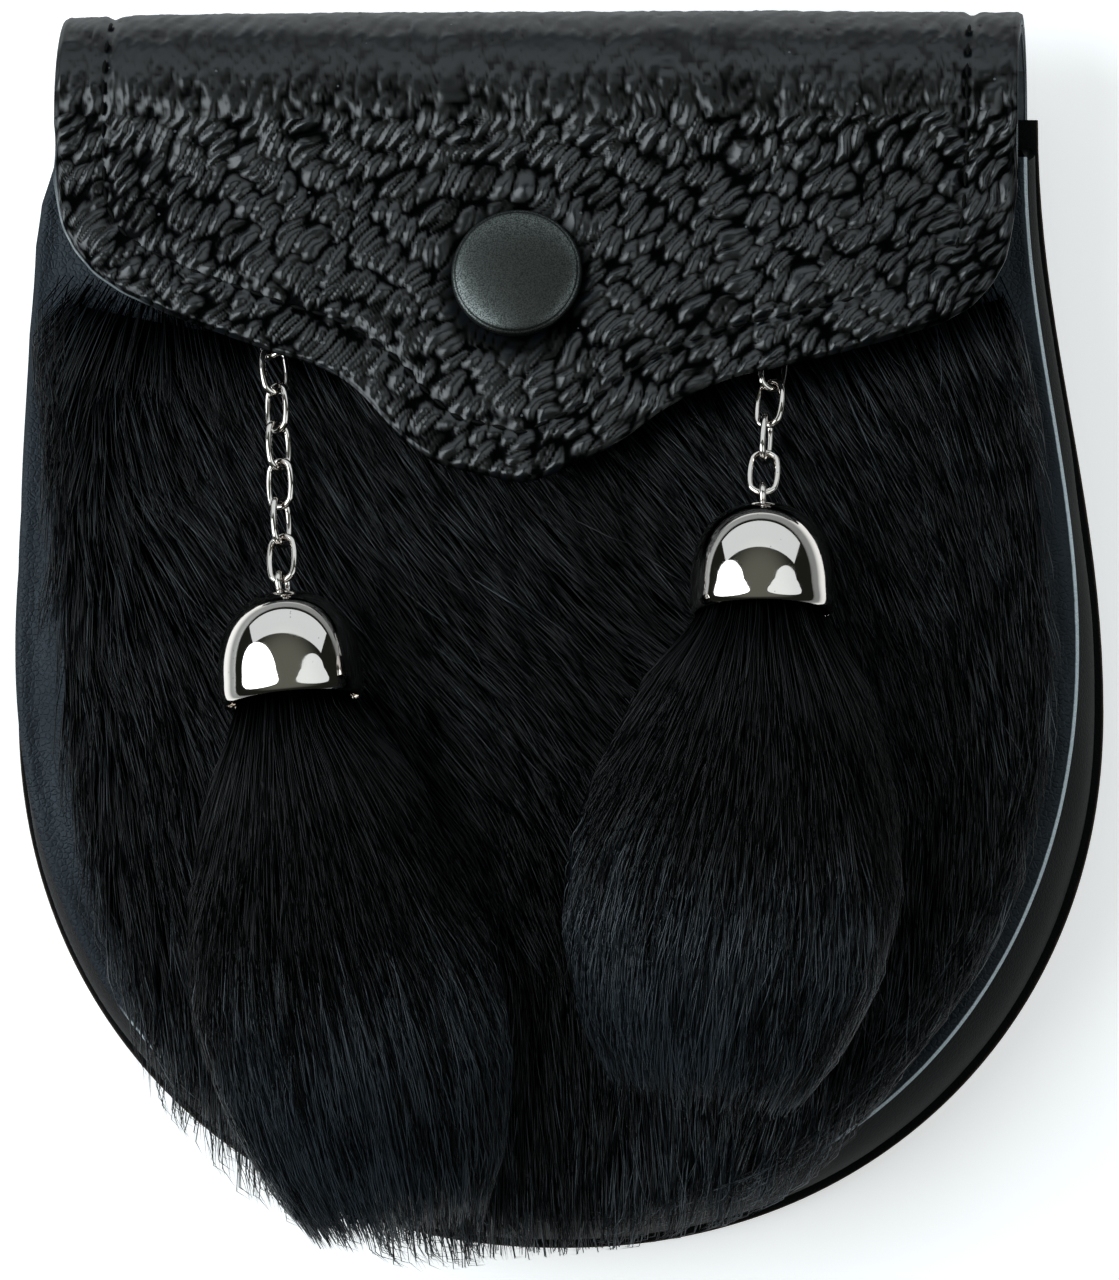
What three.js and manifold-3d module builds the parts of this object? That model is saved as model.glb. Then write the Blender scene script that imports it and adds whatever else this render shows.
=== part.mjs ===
import * as THREE from 'three';
import { mergeVertices } from 'three/addons/utils/BufferGeometryUtils.js';
import Module from 'manifold-3d';

// A small day sporran: a domed leather pouch faced with fur, closed by a grained flap with a press
// snap, and dressed with two fur tassels that hang on chains from chromed bell caps.
// Millimetres. It lies on its back: +Z comes out of its front, +Y runs up to the fold of its flap,
// and the origin is the middle of the belt loop's flat outer face, which rests on the table.

// Leather and clearances
const gap = 0.3;
const backThickness = 2;
const frontThickness = 1.8;
const gussetThickness = 1.4;
const flapThickness = 2;
const liningThickness = 0.8;
const loopThickness = 1.8;

// Belt loop on the back
const loopWidth = 60;
const loopFlatHeight = 50;
const loopTabHeight = 8;
const beltGap = 4.8;
const loopRise = 6;

// Back panel outline: straight sided at the mouth, round below
const backTopHalfWidth = 68.4;
const backWidestHalfWidth = 77.7;
const backWidestHeight = -12;
const backBottom = 88.5;
const backTop = 72;
const backRoundness = 2.1;

// Front panel outline, its dome, and the depth of the gusset between the panels
const frontTopHalfWidth = 67.6;
const frontWidestHalfWidth = 75.1;
const frontWidestHeight = -3;
const frontBottom = 83.6;
const frontTop = 66;
const frontRoundness = 2.12;
const domeHeight = 5.5;
const domeAtMouth = 0.4;
const domeFlatMargin = 0.96;
const domeFullness = 2.4;
const domeEaseLow = 8;
const depthEaseLow = 5;
const gussetDepth = 18;
const mouthDepth = 13.5;
const gussetTop = 68;
const gussetInset = 1.2;
const gussetBulge = 1.2;
const gussetFlange = 5;

// Fur on the front panel
const furGap = 0.5;
const furPile = 2.9;
const furPileUnderFlap = 2.1;
const furTopAtSide = 47;
const furTopSag = 10;
const furPressedLow = 8;
const furPressedHigh = 32;
const furMargin = 5;
const furBackingThickness = 0.8;

// Flap
const flapWidth = 135.8;
const flapShift = -1.2;
const flapFoldTop = 87;
const flapTailBottom = 52;
const flapDrop = 67.2;
const flapClearanceTop = 3.6;
const flapClearanceLow = 7.5;
const flapSettleLow = 42;
const flapSettleHigh = 76;
const flapFreeRun = 10;

// Press snap
const snapX = -2.8;
const snapY = 48.4;
const snapCapRadius = 9.2;
const snapCapHeight = 3;
const snapPostRadius = 4;

// Chain, staples and bells
const wire = 0.95;
const linkLength = 7.7;
const linkWidth = 4.8;
const linkPlay = 0.22;
const bellRadius = 10.3;
const bellHeight = 15.6;
const bellWall = 0.8;
const eyeRadius = 1.6;

const frontFaceOfBack = loopThickness + beltGap + backThickness;
const backOfBack = loopThickness + beltGap;
const linkPitch = linkLength - 2 * wire - linkPlay;
const bellShoulder = bellRadius - 0.5;
const headRadius = bellShoulder - bellWall - gap - 0.1;

const colours = {
  flap: 0x17191c,
  lining: 0x9aa5ad,
  leather: 0x15171a,
  smooth: 0x1b1a1a,
  fur: 0x0b0d10,
  chrome: 0xc9ccce,
  gunmetal: 0x4b4c4e,
};

function material(colour, roughness, metalness = 0) {
  return new THREE.MeshStandardMaterial({ color: colour, roughness, metalness });
}

function smoothstep(low, high, value) {
  const share = Math.min(Math.max((value - low) / (high - low), 0), 1);
  return share * share * (3 - 2 * share);
}

function mix(a, b, share) {
  return a + (b - a) * share;
}

// Straight-line reading of a table whose rows hold a place in column 0
function readTable(rows, place, column) {
  let row = 1;
  while (row < rows.length - 1 && rows[row][0] < place) row += 1;
  const low = rows[row - 1];
  const high = rows[row];
  const share = Math.min(Math.max((place - low[0]) / (high[0] - low[0]), 0), 1);
  return mix(low[column], high[column], share);
}

// Closed geometry from corner points and triangles: equal corners are merged, triangles without
// area are dropped, and the faces are turned outwards
function closedGeometry(points, triangles) {
  const raw = new THREE.BufferGeometry();
  raw.setAttribute('position', new THREE.Float32BufferAttribute(points.flatMap((p) => [p.x, p.y, p.z]), 3));
  raw.setIndex(triangles.flat());
  const merged = mergeVertices(raw, 1e-3);
  const index = Array.from(merged.index.array);
  const kept = [];
  for (let i = 0; i < index.length; i += 3) {
    const [a, b, c] = index.slice(i, i + 3);
    if (a !== b && b !== c && c !== a) kept.push([a, b, c]);
  }
  const corner = (i) => new THREE.Vector3().fromBufferAttribute(merged.attributes.position, i);
  let volume = 0;
  for (const [a, b, c] of kept) volume += corner(a).dot(corner(b).cross(corner(c)));
  merged.setIndex((volume < 0 ? kept.map(([a, b, c]) => [a, c, b]) : kept).flat());
  return merged;
}

// A sheet between two grids of points with the same rows and columns. The walls say which of the
// grid's sides are edges of the sheet; a side that is left out closes on itself
function sheet(outer, inner, walls) {
  const rows = outer.length;
  const columns = outer[0].length;
  const points = [...outer.flat(), ...inner.flat()];
  const at = (layer, row, column) => layer * rows * columns + row * columns + column;
  const triangles = [];
  const quad = (a, b, c, d) => triangles.push([a, b, c], [a, c, d]);
  for (let r = 0; r < rows - 1; r += 1) {
    for (let c = 0; c < columns - 1; c += 1) {
      quad(at(0, r, c), at(0, r + 1, c), at(0, r + 1, c + 1), at(0, r, c + 1));
      quad(at(1, r, c), at(1, r, c + 1), at(1, r + 1, c + 1), at(1, r + 1, c));
    }
  }
  for (let c = 0; c < columns - 1; c += 1) {
    if (walls.firstRow) quad(at(0, 0, c), at(0, 0, c + 1), at(1, 0, c + 1), at(1, 0, c));
    if (walls.lastRow) {
      quad(at(0, rows - 1, c), at(1, rows - 1, c), at(1, rows - 1, c + 1), at(0, rows - 1, c + 1));
    }
  }
  for (let r = 0; r < rows - 1; r += 1) {
    if (walls.firstColumn) quad(at(0, r, 0), at(1, r, 0), at(1, r + 1, 0), at(0, r + 1, 0));
    if (walls.lastColumn) {
      const end = columns - 1;
      quad(at(0, r, end), at(0, r + 1, end), at(1, r + 1, end), at(1, r, end));
    }
  }
  return closedGeometry(points, triangles);
}

// A solid through rings of equal point counts. The caps are triangles of ring places, by default
// a fan, which suits a convex ring
function loft(rings, caps) {
  const count = rings[0].length;
  const triangles = [];
  for (let r = 0; r < rings.length - 1; r += 1) {
    for (let i = 0; i < count; i += 1) {
      const j = (i + 1) % count;
      const low = r * count;
      const high = low + count;
      triangles.push([low + i, low + j, high + j], [low + i, high + j, high + i]);
    }
  }
  const fan = Array.from({ length: count - 2 }, (_, i) => [0, i + 1, i + 2]);
  const last = (rings.length - 1) * count;
  for (const [a, b, c] of caps ?? fan) {
    triangles.push([a, c, b], [last + a, last + b, last + c]);
  }
  return closedGeometry(rings.flat(), triangles);
}

// Half-width of a panel at a height: an eased taper above its widest line, a rounded bowl below
function halfWidth(panel, y) {
  if (y >= panel.widestY) {
    const rise = (y - panel.widestY) / (panel.top - panel.widestY);
    return mix(panel.widest, panel.topHalf, (1 - Math.cos(Math.PI * rise)) / 2);
  }
  const fall = (panel.widestY - y) / (panel.widestY + panel.bottom);
  return panel.widest * Math.max(1 - fall ** panel.roundness, 0) ** (1 / panel.roundness);
}

const backPanel = {
  top: backTop,
  topHalf: backTopHalfWidth,
  widest: backWidestHalfWidth,
  widestY: backWidestHeight,
  bottom: backBottom,
  roundness: backRoundness,
};
const frontPanel = {
  top: frontTop,
  topHalf: frontTopHalfWidth,
  widest: frontWidestHalfWidth,
  widestY: frontWidestHeight,
  bottom: frontBottom,
  roundness: frontRoundness,
};

// Place on a panel's outline: turn runs from -1 at the upper left corner, through 0 at the bottom,
// to 1 at the upper right. sideShare of it is the straight side, the rest the round bowl. Spread
// draws the place in towards the middle line
const sideShare = 0.34;
function outlinePlace(panel, turn, spread = 1, top = panel.top) {
  const side = Math.sign(turn);
  const away = Math.abs(turn);
  if (away > 1 - sideShare) {
    const climb = (away - 1 + sideShare) / sideShare;
    const y = mix(panel.widestY, top, climb);
    return new THREE.Vector2(side * spread * halfWidth(panel, y), y);
  }
  const angle = (away / (1 - sideShare)) * (Math.PI / 2);
  const power = 2 / panel.roundness;
  const x = side * panel.widest * Math.sin(angle) ** power;
  const fall = (panel.widestY + panel.bottom) * Math.cos(angle) ** power;
  return new THREE.Vector2(spread * x, panel.widestY - spread * fall);
}

// How far out a place lies on the front panel: 0 on its middle line, 1 on its outline
function panelShare(panel, x, y) {
  if (y >= panel.widestY) return Math.abs(x) / halfWidth(panel, Math.min(y, panel.top));
  const across = Math.abs(x) / panel.widest;
  const down = (panel.widestY - y) / (panel.widestY + panel.bottom);
  return (across ** panel.roundness + down ** panel.roundness) ** (1 / panel.roundness);
}

function depthAt(y) {
  return mix(gussetDepth, mouthDepth, smoothstep(depthEaseLow, frontTop, y));
}

// Height of the front panel's outer face: the gusset's depth, and a dome that is low at the mouth
function frontFace(x, y) {
  const share = Math.min(panelShare(frontPanel, x, y) / domeFlatMargin, 1);
  const dome = Math.cos((Math.PI / 2) * share ** domeFullness);
  const low = mix(1, domeAtMouth, smoothstep(domeEaseLow, frontTop, y));
  return frontFaceOfBack + 2 * gap + depthAt(y) + frontThickness + domeHeight * low * dome;
}

// The pouch body
function makeBackPanel() {
  const steps = 44;
  const outline = [];
  for (let i = 0; i <= steps; i += 1) outline.push(outlinePlace(backPanel, -1 + (2 * i) / steps));
  const plate = new THREE.ExtrudeGeometry(new THREE.Shape(outline), {
    depth: backThickness,
    bevelEnabled: false,
  });
  plate.translate(0, 0, backOfBack);
  return plate;
}

function makeFrontPanel() {
  const spreads = [0, 0.3, 0.55, 0.7, 0.8, 0.88, 0.94, 1];
  const steps = 36;
  const outer = spreads.map((spread) => Array.from({ length: steps + 1 }, (_, i) => {
    const place = outlinePlace(frontPanel, -1 + (2 * i) / steps, spread);
    return new THREE.Vector3(place.x, place.y, frontFace(place.x, place.y));
  }));
  const inner = outer.map((row) => row.map((p) => p.clone().setZ(p.z - frontThickness)));
  return sheet(outer, inner, { lastRow: true, firstColumn: true, lastColumn: true });
}

// The gusset is a channel: a wall between the panels' outlines with a flange turned in on each
function makeGusset() {
  const steps = 40;
  const wallShare = gussetThickness / gussetDepth;
  const section = [
    [0, 0], [0.35, 0], [0.65, 0], [1, 0],
    [1, gussetFlange], [1 - wallShare, gussetFlange], [1 - wallShare, gussetThickness],
    [0.5, gussetThickness], [wallShare, gussetThickness], [wallShare, gussetFlange], [0, gussetFlange],
  ];
  const rings = [];
  for (let i = 0; i <= steps; i += 1) {
    const turn = -1 + (2 * i) / steps;
    const low = outlinePlace(backPanel, turn, 1, gussetTop);
    const high = outlinePlace(frontPanel, turn, 1, gussetTop - 3);
    const ahead = outlinePlace(backPanel, Math.min(turn + 0.01, 1), 1, gussetTop);
    const behind = outlinePlace(backPanel, Math.max(turn - 0.01, -1), 1, gussetTop);
    const along = ahead.sub(behind).normalize();
    const inward = new THREE.Vector2(-along.y, along.x);
    rings.push(section.map(([rise, inset]) => {
      const bulge = gussetBulge * Math.sin(Math.PI * rise);
      const spot = low.clone().lerp(high, rise).addScaledVector(inward, inset + gussetInset - bulge);
      const z = frontFaceOfBack + gap + rise * depthAt(mix(low.y, high.y, rise));
      return new THREE.Vector3(spot.x, spot.y, z);
    }));
  }
  const flat = section.map(([rise, inset]) => new THREE.Vector2(rise * gussetDepth, inset));
  return loft(rings, THREE.ShapeUtils.triangulateShape(flat, []));
}

// A strip sewn across the back at its two tabs, standing off between them to let a belt through
function makeBeltLoop() {
  const half = loopFlatHeight / 2;
  const tabTop = backOfBack - gap;
  const rise = tabTop - loopThickness;
  const outside = [[half, 0], [half + rise, rise], [half + rise + loopTabHeight, rise]];
  const inside = [[half + rise + loopTabHeight, tabTop], [half + rise - 1, tabTop], [half - 1, loopThickness]];
  const right = [...outside, ...inside].map(([y, z]) => new THREE.Vector2(y, z));
  const left = right.map((p) => new THREE.Vector2(-p.x, p.y)).reverse();
  const strip = new THREE.ExtrudeGeometry(new THREE.Shape([...left, ...right]), {
    depth: loopWidth,
    bevelEnabled: false,
  });
  strip.translate(0, 0, -loopWidth / 2);
  strip.rotateY(Math.PI / 2);
  strip.rotateX(Math.PI / 2);
  return strip;
}

// Fur: flow lines run from the fur's top edge down to its rim. Locks are lobes in rows along them
const lockRows = 5;
const lockColumns = 15;
// share of the turn from left (-1) to right (1), how far the lock tips reach past the rim in mm
const fringe = [
  [-1, 0], [-0.6, 1.5], [-0.45, 4], [-0.35, 11], [-0.24, 14.5], [-0.13, 15.5], [-0.06, 12],
  [0, 8], [0.18, 8], [0.3, 3], [1, 0],
];

function furPlace(turn, down) {
  const rim = outlinePlace(frontPanel, turn, 1 - furMargin / frontWidestHalfWidth, furTopAtSide);
  const edge = 1 - furMargin / frontWidestHalfWidth;
  const topX = turn * edge * halfWidth(frontPanel, furTopAtSide);
  const topY = furTopAtSide - furTopSag * (1 - turn * turn);
  const top = new THREE.Vector2(topX, topY);
  const tooth = Math.abs(Math.sin(turn * lockColumns * Math.PI));
  const fall = top.clone().lerp(rim, down);
  if (down === 1) fall.y -= readTable(fringe, turn, 1) * (0.35 + 0.65 * tooth);
  return fall;
}

// Share of the full pile at a place: lobes side by side, each row rising to its tips and stepping
// down to the next, and thin at the two upper corners
function lockHeight(turn, down) {
  const row = Math.min(Math.floor(down * lockRows - 1e-6), lockRows - 1);
  const shift = row % 2 === 0 ? 0 : 0.5;
  const across = Math.abs(Math.sin((turn * lockColumns + shift) * Math.PI));
  const along = down * lockRows - row;
  const rim = down === 1 ? 0.55 : 1;
  const taper = Math.min((1 - Math.abs(turn)) * 12, 1);
  const share = (0.45 + 0.55 * across) * (0.6 + 0.4 * along) * rim * taper;
  return Math.max(share, furBackingThickness / furPile);
}

function makeFurPanel() {
  const turns = Array.from({ length: 39 }, (_, i) => -1 + (2 * i) / 38);
  const step = 0.015;
  const downs = [0, 0.1, 0.2, 0.2 + step, 0.3, 0.4, 0.4 + step, 0.5, 0.6, 0.6 + step, 0.7, 0.8, 0.8 + step];
  downs.push(0.9, 0.96, 1);
  const skin = (turn, down, lift) => {
    const place = furPlace(turn, down);
    const under = smoothstep(furPressedLow, furPressedHigh, place.y);
    const pile = mix(furPile, furPileUnderFlap, under);
    const face = frontFace(place.x, Math.max(place.y, -frontBottom));
    return new THREE.Vector3(place.x, place.y, face + furGap + pile * lift);
  };
  const outer = downs.map((down) => turns.map((turn) => skin(turn, down, lockHeight(turn, down))));
  const inner = downs.map((down) => turns.map((turn) => skin(turn, down, 0)));
  return sheet(outer, inner, { firstRow: true, lastRow: true });
}

// Flap: columns of places across, each running up the back, over the fold and down the front
// share across the half-width, drop below the fold on the left side, on the right side, as shares
const flapEdge = [
  [0, 1, 1],
  [0.06, 0.985, 0.975],
  [0.19, 0.955, 0.915],
  [0.27, 0.89, 0.85],
  [0.35, 0.8, 0.805],
  [0.43, 0.75, 0.775],
  [0.52, 0.725, 0.755],
  [0.63, 0.685, 0.73],
  [0.74, 0.645, 0.7],
  [0.85, 0.595, 0.665],
  [0.91, 0.555, 0.63],
  [0.95, 0.51, 0.585],
  [0.98, 0.455, 0.53],
  [0.995, 0.39, 0.44],
  [1, 0.29, 0.3],
];

function flapInnerHeight(x, y) {
  const clearance = mix(flapClearanceLow, flapClearanceTop, smoothstep(flapSettleLow, flapSettleHigh, y));
  return frontFace(x, Math.min(y, frontTop)) + clearance;
}

// Middle surface of the flap's place at a share across and a run: 0 to 1 up the back, 1 to 2 round
// the fold, 2 to 3 down the front to the shaped edge. Lift is the distance inside the outer face
function flapPlace(across, run, lift) {
  const x = flapShift + (across * flapWidth) / 2;
  const layer = flapThickness + liningThickness + gap;
  const tail = backOfBack - gap - layer;
  const shoulder = flapInnerHeight(x, frontTop - 1) + layer;
  const radius = (shoulder - tail) / 2;
  const foldY = flapFoldTop - radius;
  if (run <= 1) return new THREE.Vector3(x, mix(flapTailBottom, foldY, run), tail + lift);
  if (run <= 2) {
    const angle = (run - 1) * Math.PI;
    const reach = radius - lift;
    return new THREE.Vector3(x, foldY + reach * Math.sin(angle), tail + radius - reach * Math.cos(angle));
  }
  const column = across < 0 ? 1 : 2;
  const bottom = flapFoldTop - flapDrop * readTable(flapEdge, Math.abs(across), column);
  const y = mix(foldY, bottom, run - 2);
  const free = smoothstep(foldY - flapFreeRun, foldY, y);
  return new THREE.Vector3(x, y, mix(flapInnerHeight(x, y) + layer, shoulder, free) - lift);
}

function flapLayer(lift, thickness, trim) {
  const shares = [0, 0.1, 0.19, 0.35, 0.52, 0.74, 0.91, 0.98, 1];
  const acrosses = [...shares.slice(1).reverse().map((share) => -share), ...shares];
  const runs = [0, 0.6, 1, 1.17, 1.33, 1.5, 1.67, 1.83, 2, 2.12, 2.25, 2.4, 2.55, 2.7, 2.85, 3];
  const grid = (depth) => runs.map((run) => acrosses.map((across) => {
    const end = run === 3 ? 3 - trim / flapDrop : run;
    return flapPlace(across * (1 - (2 * trim) / flapWidth), end, depth);
  }));
  const walls = { firstRow: true, lastRow: true, firstColumn: true, lastColumn: true };
  return sheet(grid(lift), grid(lift + thickness), walls);
}

// Press snap: a low domed cap on the flap, and the plain post under it on the front panel
function makeSnapCap() {
  const profile = [[0, 0], [snapCapRadius - 1.2, 0], [snapCapRadius, 0.9], [snapCapRadius - 0.4, 1.7]];
  for (let i = 1; i <= 4; i += 1) {
    const angle = (i / 4) * (Math.PI / 2);
    const radius = (snapCapRadius - 1) * Math.cos(angle);
    profile.push([Math.max(radius, 0), 1.9 + (snapCapHeight - 1.9) * Math.sin(angle)]);
  }
  const cap = new THREE.LatheGeometry(profile.map(([r, z]) => new THREE.Vector2(r, z)), 20);
  cap.rotateX(Math.PI / 2);
  return tidy(cap);
}

function tidy(geometry) {
  const bare = geometry.clone();
  bare.deleteAttribute('normal');
  bare.deleteAttribute('uv');
  const merged = mergeVertices(bare, 1e-3);
  const points = [];
  for (let i = 0; i < merged.attributes.position.count; i += 1) {
    points.push(new THREE.Vector3().fromBufferAttribute(merged.attributes.position, i));
  }
  const index = Array.from(merged.index.array);
  const triangles = [];
  for (let i = 0; i < index.length; i += 3) triangles.push(index.slice(i, i + 3));
  return closedGeometry(points, triangles);
}

// Joining solids
const wasm = await Module();
wasm.setup();

function solid(geometry) {
  return new wasm.Manifold(new wasm.Mesh({
    numProp: 3,
    vertProperties: new Float32Array(geometry.attributes.position.array),
    triVerts: new Uint32Array(geometry.index.array),
  }));
}

function geometryOf(body) {
  const mesh = body.getMesh();
  const geometry = new THREE.BufferGeometry();
  geometry.setAttribute('position', new THREE.Float32BufferAttribute(mesh.vertProperties, 3));
  geometry.setIndex(Array.from(mesh.triVerts));
  return geometry;
}

function fuse(geometries) {
  return geometryOf(geometries.map(solid).reduce((all, next) => all.add(next)));
}

// A link is an oval of round wire that lies in its own XY plane, long in Y
class LinkCurve extends THREE.Curve {
  getPoint(turn) {
    const angle = turn * 2 * Math.PI;
    const bend = (linkWidth - wire) / 2;
    const straight = (linkLength - linkWidth) / 2;
    const end = Math.sign(Math.sin(angle)) * straight * Math.min(Math.abs(Math.sin(angle)) * 2, 1);
    return new THREE.Vector3(bend * Math.cos(angle), bend * Math.sin(angle) + end, 0);
  }
}

function makeLink() {
  return tidy(new THREE.TubeGeometry(new LinkCurve(), 12, wire / 2, 5, true));
}

// A bell cap: a thin spun dome with a near-straight skirt, its wire eye soldered to the top. Its
// top is at its own origin and its mouth faces down its own -Y
const eyeRise = 1.2;

function makeBell(eyeRoll) {
  const arc = (radius, drop) => Array.from({ length: 6 }, (_, i) => {
    const angle = (i / 5) * (Math.PI / 2);
    return [radius * Math.sin(angle), -drop - radius * (1 - Math.cos(angle))];
  });
  const profile = [
    ...arc(bellShoulder, 0),
    [bellRadius, -bellHeight],
    [bellRadius - bellWall, -bellHeight],
    ...arc(bellShoulder - bellWall, bellWall).reverse(),
  ];
  const dome = new THREE.LatheGeometry(profile.map(([r, y]) => new THREE.Vector2(Math.max(r, 0), y)), 16);
  const eye = new THREE.TorusGeometry(eyeRadius, wire / 2, 5, 10);
  eye.translate(0, eyeRise, 0);
  eye.rotateY(eyeRoll);
  return fuse([tidy(dome), tidy(eye)]);
}

// A staple holds the chain's first link: its legs stand on the front panel either side of the
// link's end, and its crown passes over it
function makeStaple(rise) {
  const reach = (2 * wire + 2 * gap) / 2;
  const foot = -rise + gap;
  const crown = (wire + linkPlay);
  const route = new THREE.CatmullRomCurve3([
    new THREE.Vector3(0, -reach, foot),
    new THREE.Vector3(0, -reach, crown * 0.5),
    new THREE.Vector3(0, -reach * 0.6, crown * 0.95),
    new THREE.Vector3(0, reach * 0.6, crown * 0.95),
    new THREE.Vector3(0, reach, crown * 0.5),
    new THREE.Vector3(0, reach, foot),
  ]);
  const angles = Array.from({ length: 6 }, (_, i) => (i / 6) * 2 * Math.PI);
  const round = angles.map((a) => new THREE.Vector2((wire / 2) * Math.cos(a), (wire / 2) * Math.sin(a)));
  return tidy(new THREE.ExtrudeGeometry(new THREE.Shape(round), { steps: 10, extrudePath: route }));
}

// Tassels: locks swept down a spine and fused to the head that fills the bell
// share of the length, half-width, half-thickness, as shares of the tassel's own half-width
const tasselForm = [
  [0, 0.41, 0.41],
  [0.1, 0.42, 0.41],
  [0.22, 0.55, 0.4],
  [0.4, 0.82, 0.38],
  [0.6, 1, 0.36],
  [0.78, 0.92, 0.33],
  [0.92, 0.62, 0.24],
  [1, 0.3, 0.1],
];
// place across, layer up or down, length share
const tasselLocks = [
  [-0.72, -0.2, 0.88],
  [-0.62, 0.35, 0.93],
  [-0.3, 0.55, 1],
  [0.05, 0.6, 0.97],
  [0.4, 0.5, 1.02],
  [0.68, 0.2, 0.9],
  [0.3, -0.45, 0.98],
  [-0.25, -0.5, 1],
];

function makeTassel(spine, halfWidth) {
  const ring = (share, across, layer, size, sides) => {
    const spot = spine.getPointAt(Math.min(share, 1));
    const along = spine.getTangentAt(Math.min(share, 1));
    const up = new THREE.Vector3(0, 0, 1).addScaledVector(along, -along.z).normalize();
    const side = new THREE.Vector3().crossVectors(along, up);
    const wide = halfWidth * readTable(tasselForm, share, 1);
    const thick = halfWidth * readTable(tasselForm, share, 2);
    spot.addScaledVector(side, across * wide * (1 - size)).addScaledVector(up, layer * thick * (1 - size));
    return Array.from({ length: sides }, (_, i) => {
      const angle = (i / sides) * 2 * Math.PI;
      return spot.clone()
        .addScaledVector(side, wide * size * Math.cos(angle))
        .addScaledVector(up, thick * size * 1.15 * Math.sin(angle));
    });
  };
  const core = [0, 0.1, 0.24, 0.42, 0.62, 0.8, 0.9].map((share, i, all) => (
    ring(share, 0, 0, i === all.length - 1 ? 0.4 : 0.8, 8)));
  const locks = tasselLocks.map(([across, layer, length]) => (
    [0.2, 0.42, 0.66, 0.88, 1].map((share, i) => {
      const taper = [0.34, 0.42, 0.42, 0.3, 0.08][i];
      return ring(share * Math.min(length, 1), across * 1.25, layer * 1.1, taper, 6);
    })));
  const head = [0, 0.07].map((share) => {
    const middle = spine.getPointAt(share);
    const along = spine.getTangentAt(0);
    const up = new THREE.Vector3(0, 0, 1).addScaledVector(along, -along.z).normalize();
    const side = new THREE.Vector3().crossVectors(along, up);
    return Array.from({ length: 16 }, (_, i) => {
      const angle = (i / 16) * 2 * Math.PI;
      return middle.clone()
        .addScaledVector(side, headRadius * Math.cos(angle))
        .addScaledVector(up, headRadius * Math.sin(angle));
    });
  });
  return fuse([head, core, ...locks].map((rings) => loft(rings)));
}

// Chains: the route each takes from its staple, lying over the fur, to its bell
// height up the pouch, sideways place, lift above the front panel's face
const strands = {
  left: {
    route: [
      [43, -38, 2.6], [39, -37.6, 4.9], [33, -36.9, 5.8], [27, -36.4, 6.6],
      [15, -35.5, 8.4], [5, -34.8, 12.2], [0, -34.5, 13.9],
    ],
    rolls: [-32, 34, -42, 50, -30, 62, -20],
    lean: 6,
    lift: 14,
    tassel: [[-26, -30.5, 13.4], [-44, -27.5, 12.4], [-62, -23.5, 11.4], [-85, -17.5, 7.5]],
    tasselHalfWidth: 20,
  },
  right: {
    route: [
      [43.4, 33.4, 2.6], [39.4, 33, 4.9], [32, 32.5, 6.2], [26, 32.2, 8], [18, 32, 12], [12, 32, 13.9],
    ],
    rolls: [-32, 38, -22, 80, 5],
    lean: 1,
    lift: 14,
    tassel: [[-16, 31, 13.4], [-33, 28.5, 12.4], [-48, 26, 11.4], [-66, 23, 9.5]],
    tasselHalfWidth: 21.5,
  },
};

function above(x, y, lift) {
  return new THREE.Vector3(x, y, frontFace(x, y) + lift);
}

function stand(mesh, spot, up, roll) {
  const out = new THREE.Vector3().crossVectors(new THREE.Vector3(1, 0, 0), up).normalize();
  const side = new THREE.Vector3().crossVectors(up, out);
  mesh.quaternion.setFromRotationMatrix(new THREE.Matrix4().makeBasis(side, up, out));
  mesh.rotateY(roll);
  mesh.position.copy(spot);
  return mesh;
}

const chrome = material(colours.chrome, 0.12, 1);
const pouch = new THREE.Group();

function add(name, geometry, finish) {
  const mesh = new THREE.Mesh(geometry, finish);
  mesh.name = name;
  pouch.add(mesh);
  return mesh;
}

add('back_panel', makeBackPanel(), material(colours.smooth, 0.6));
add('gusset', makeGusset(), material(colours.smooth, 0.6));
add('front_panel', makeFrontPanel(), material(colours.leather, 0.55));
add('fur_panel', makeFurPanel(), material(colours.fur, 0.8));
add('flap', flapLayer(0, flapThickness, 0), material(colours.flap, 0.45));
add('flap_lining', flapLayer(flapThickness + gap, liningThickness, 0.6), material(colours.lining, 0.8));
add('belt_loop', makeBeltLoop(), material(colours.smooth, 0.6)).position.y = loopRise;

// The snap sits square to the flap, whose face slopes gently up from the fold
const below = flapInnerHeight(snapX, snapY - snapPostRadius);
const slope = (flapInnerHeight(snapX, snapY + snapPostRadius) - below) / (2 * snapPostRadius);
const snap = new THREE.Group();
snap.position.set(snapX, snapY, flapInnerHeight(snapX, snapY));
snap.rotation.x = Math.atan(slope);
const capRise = (flapThickness + liningThickness + gap) * Math.cos(snap.rotation.x) + gap;
const postHeight = (flapInnerHeight(snapX, snapY) - frontFace(snapX, snapY)) * Math.cos(snap.rotation.x) - 2 * gap;
const cap = add('snap_cap', makeSnapCap(), material(colours.gunmetal, 0.45, 1));
cap.position.z = capRise;
const post = new THREE.CylinderGeometry(snapPostRadius, snapPostRadius, postHeight, 16);
post.rotateX(Math.PI / 2);
const postMesh = add('snap_post', post, chrome);
postMesh.position.z = -gap - postHeight / 2;
snap.add(cap, postMesh);
pouch.add(snap);

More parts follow.
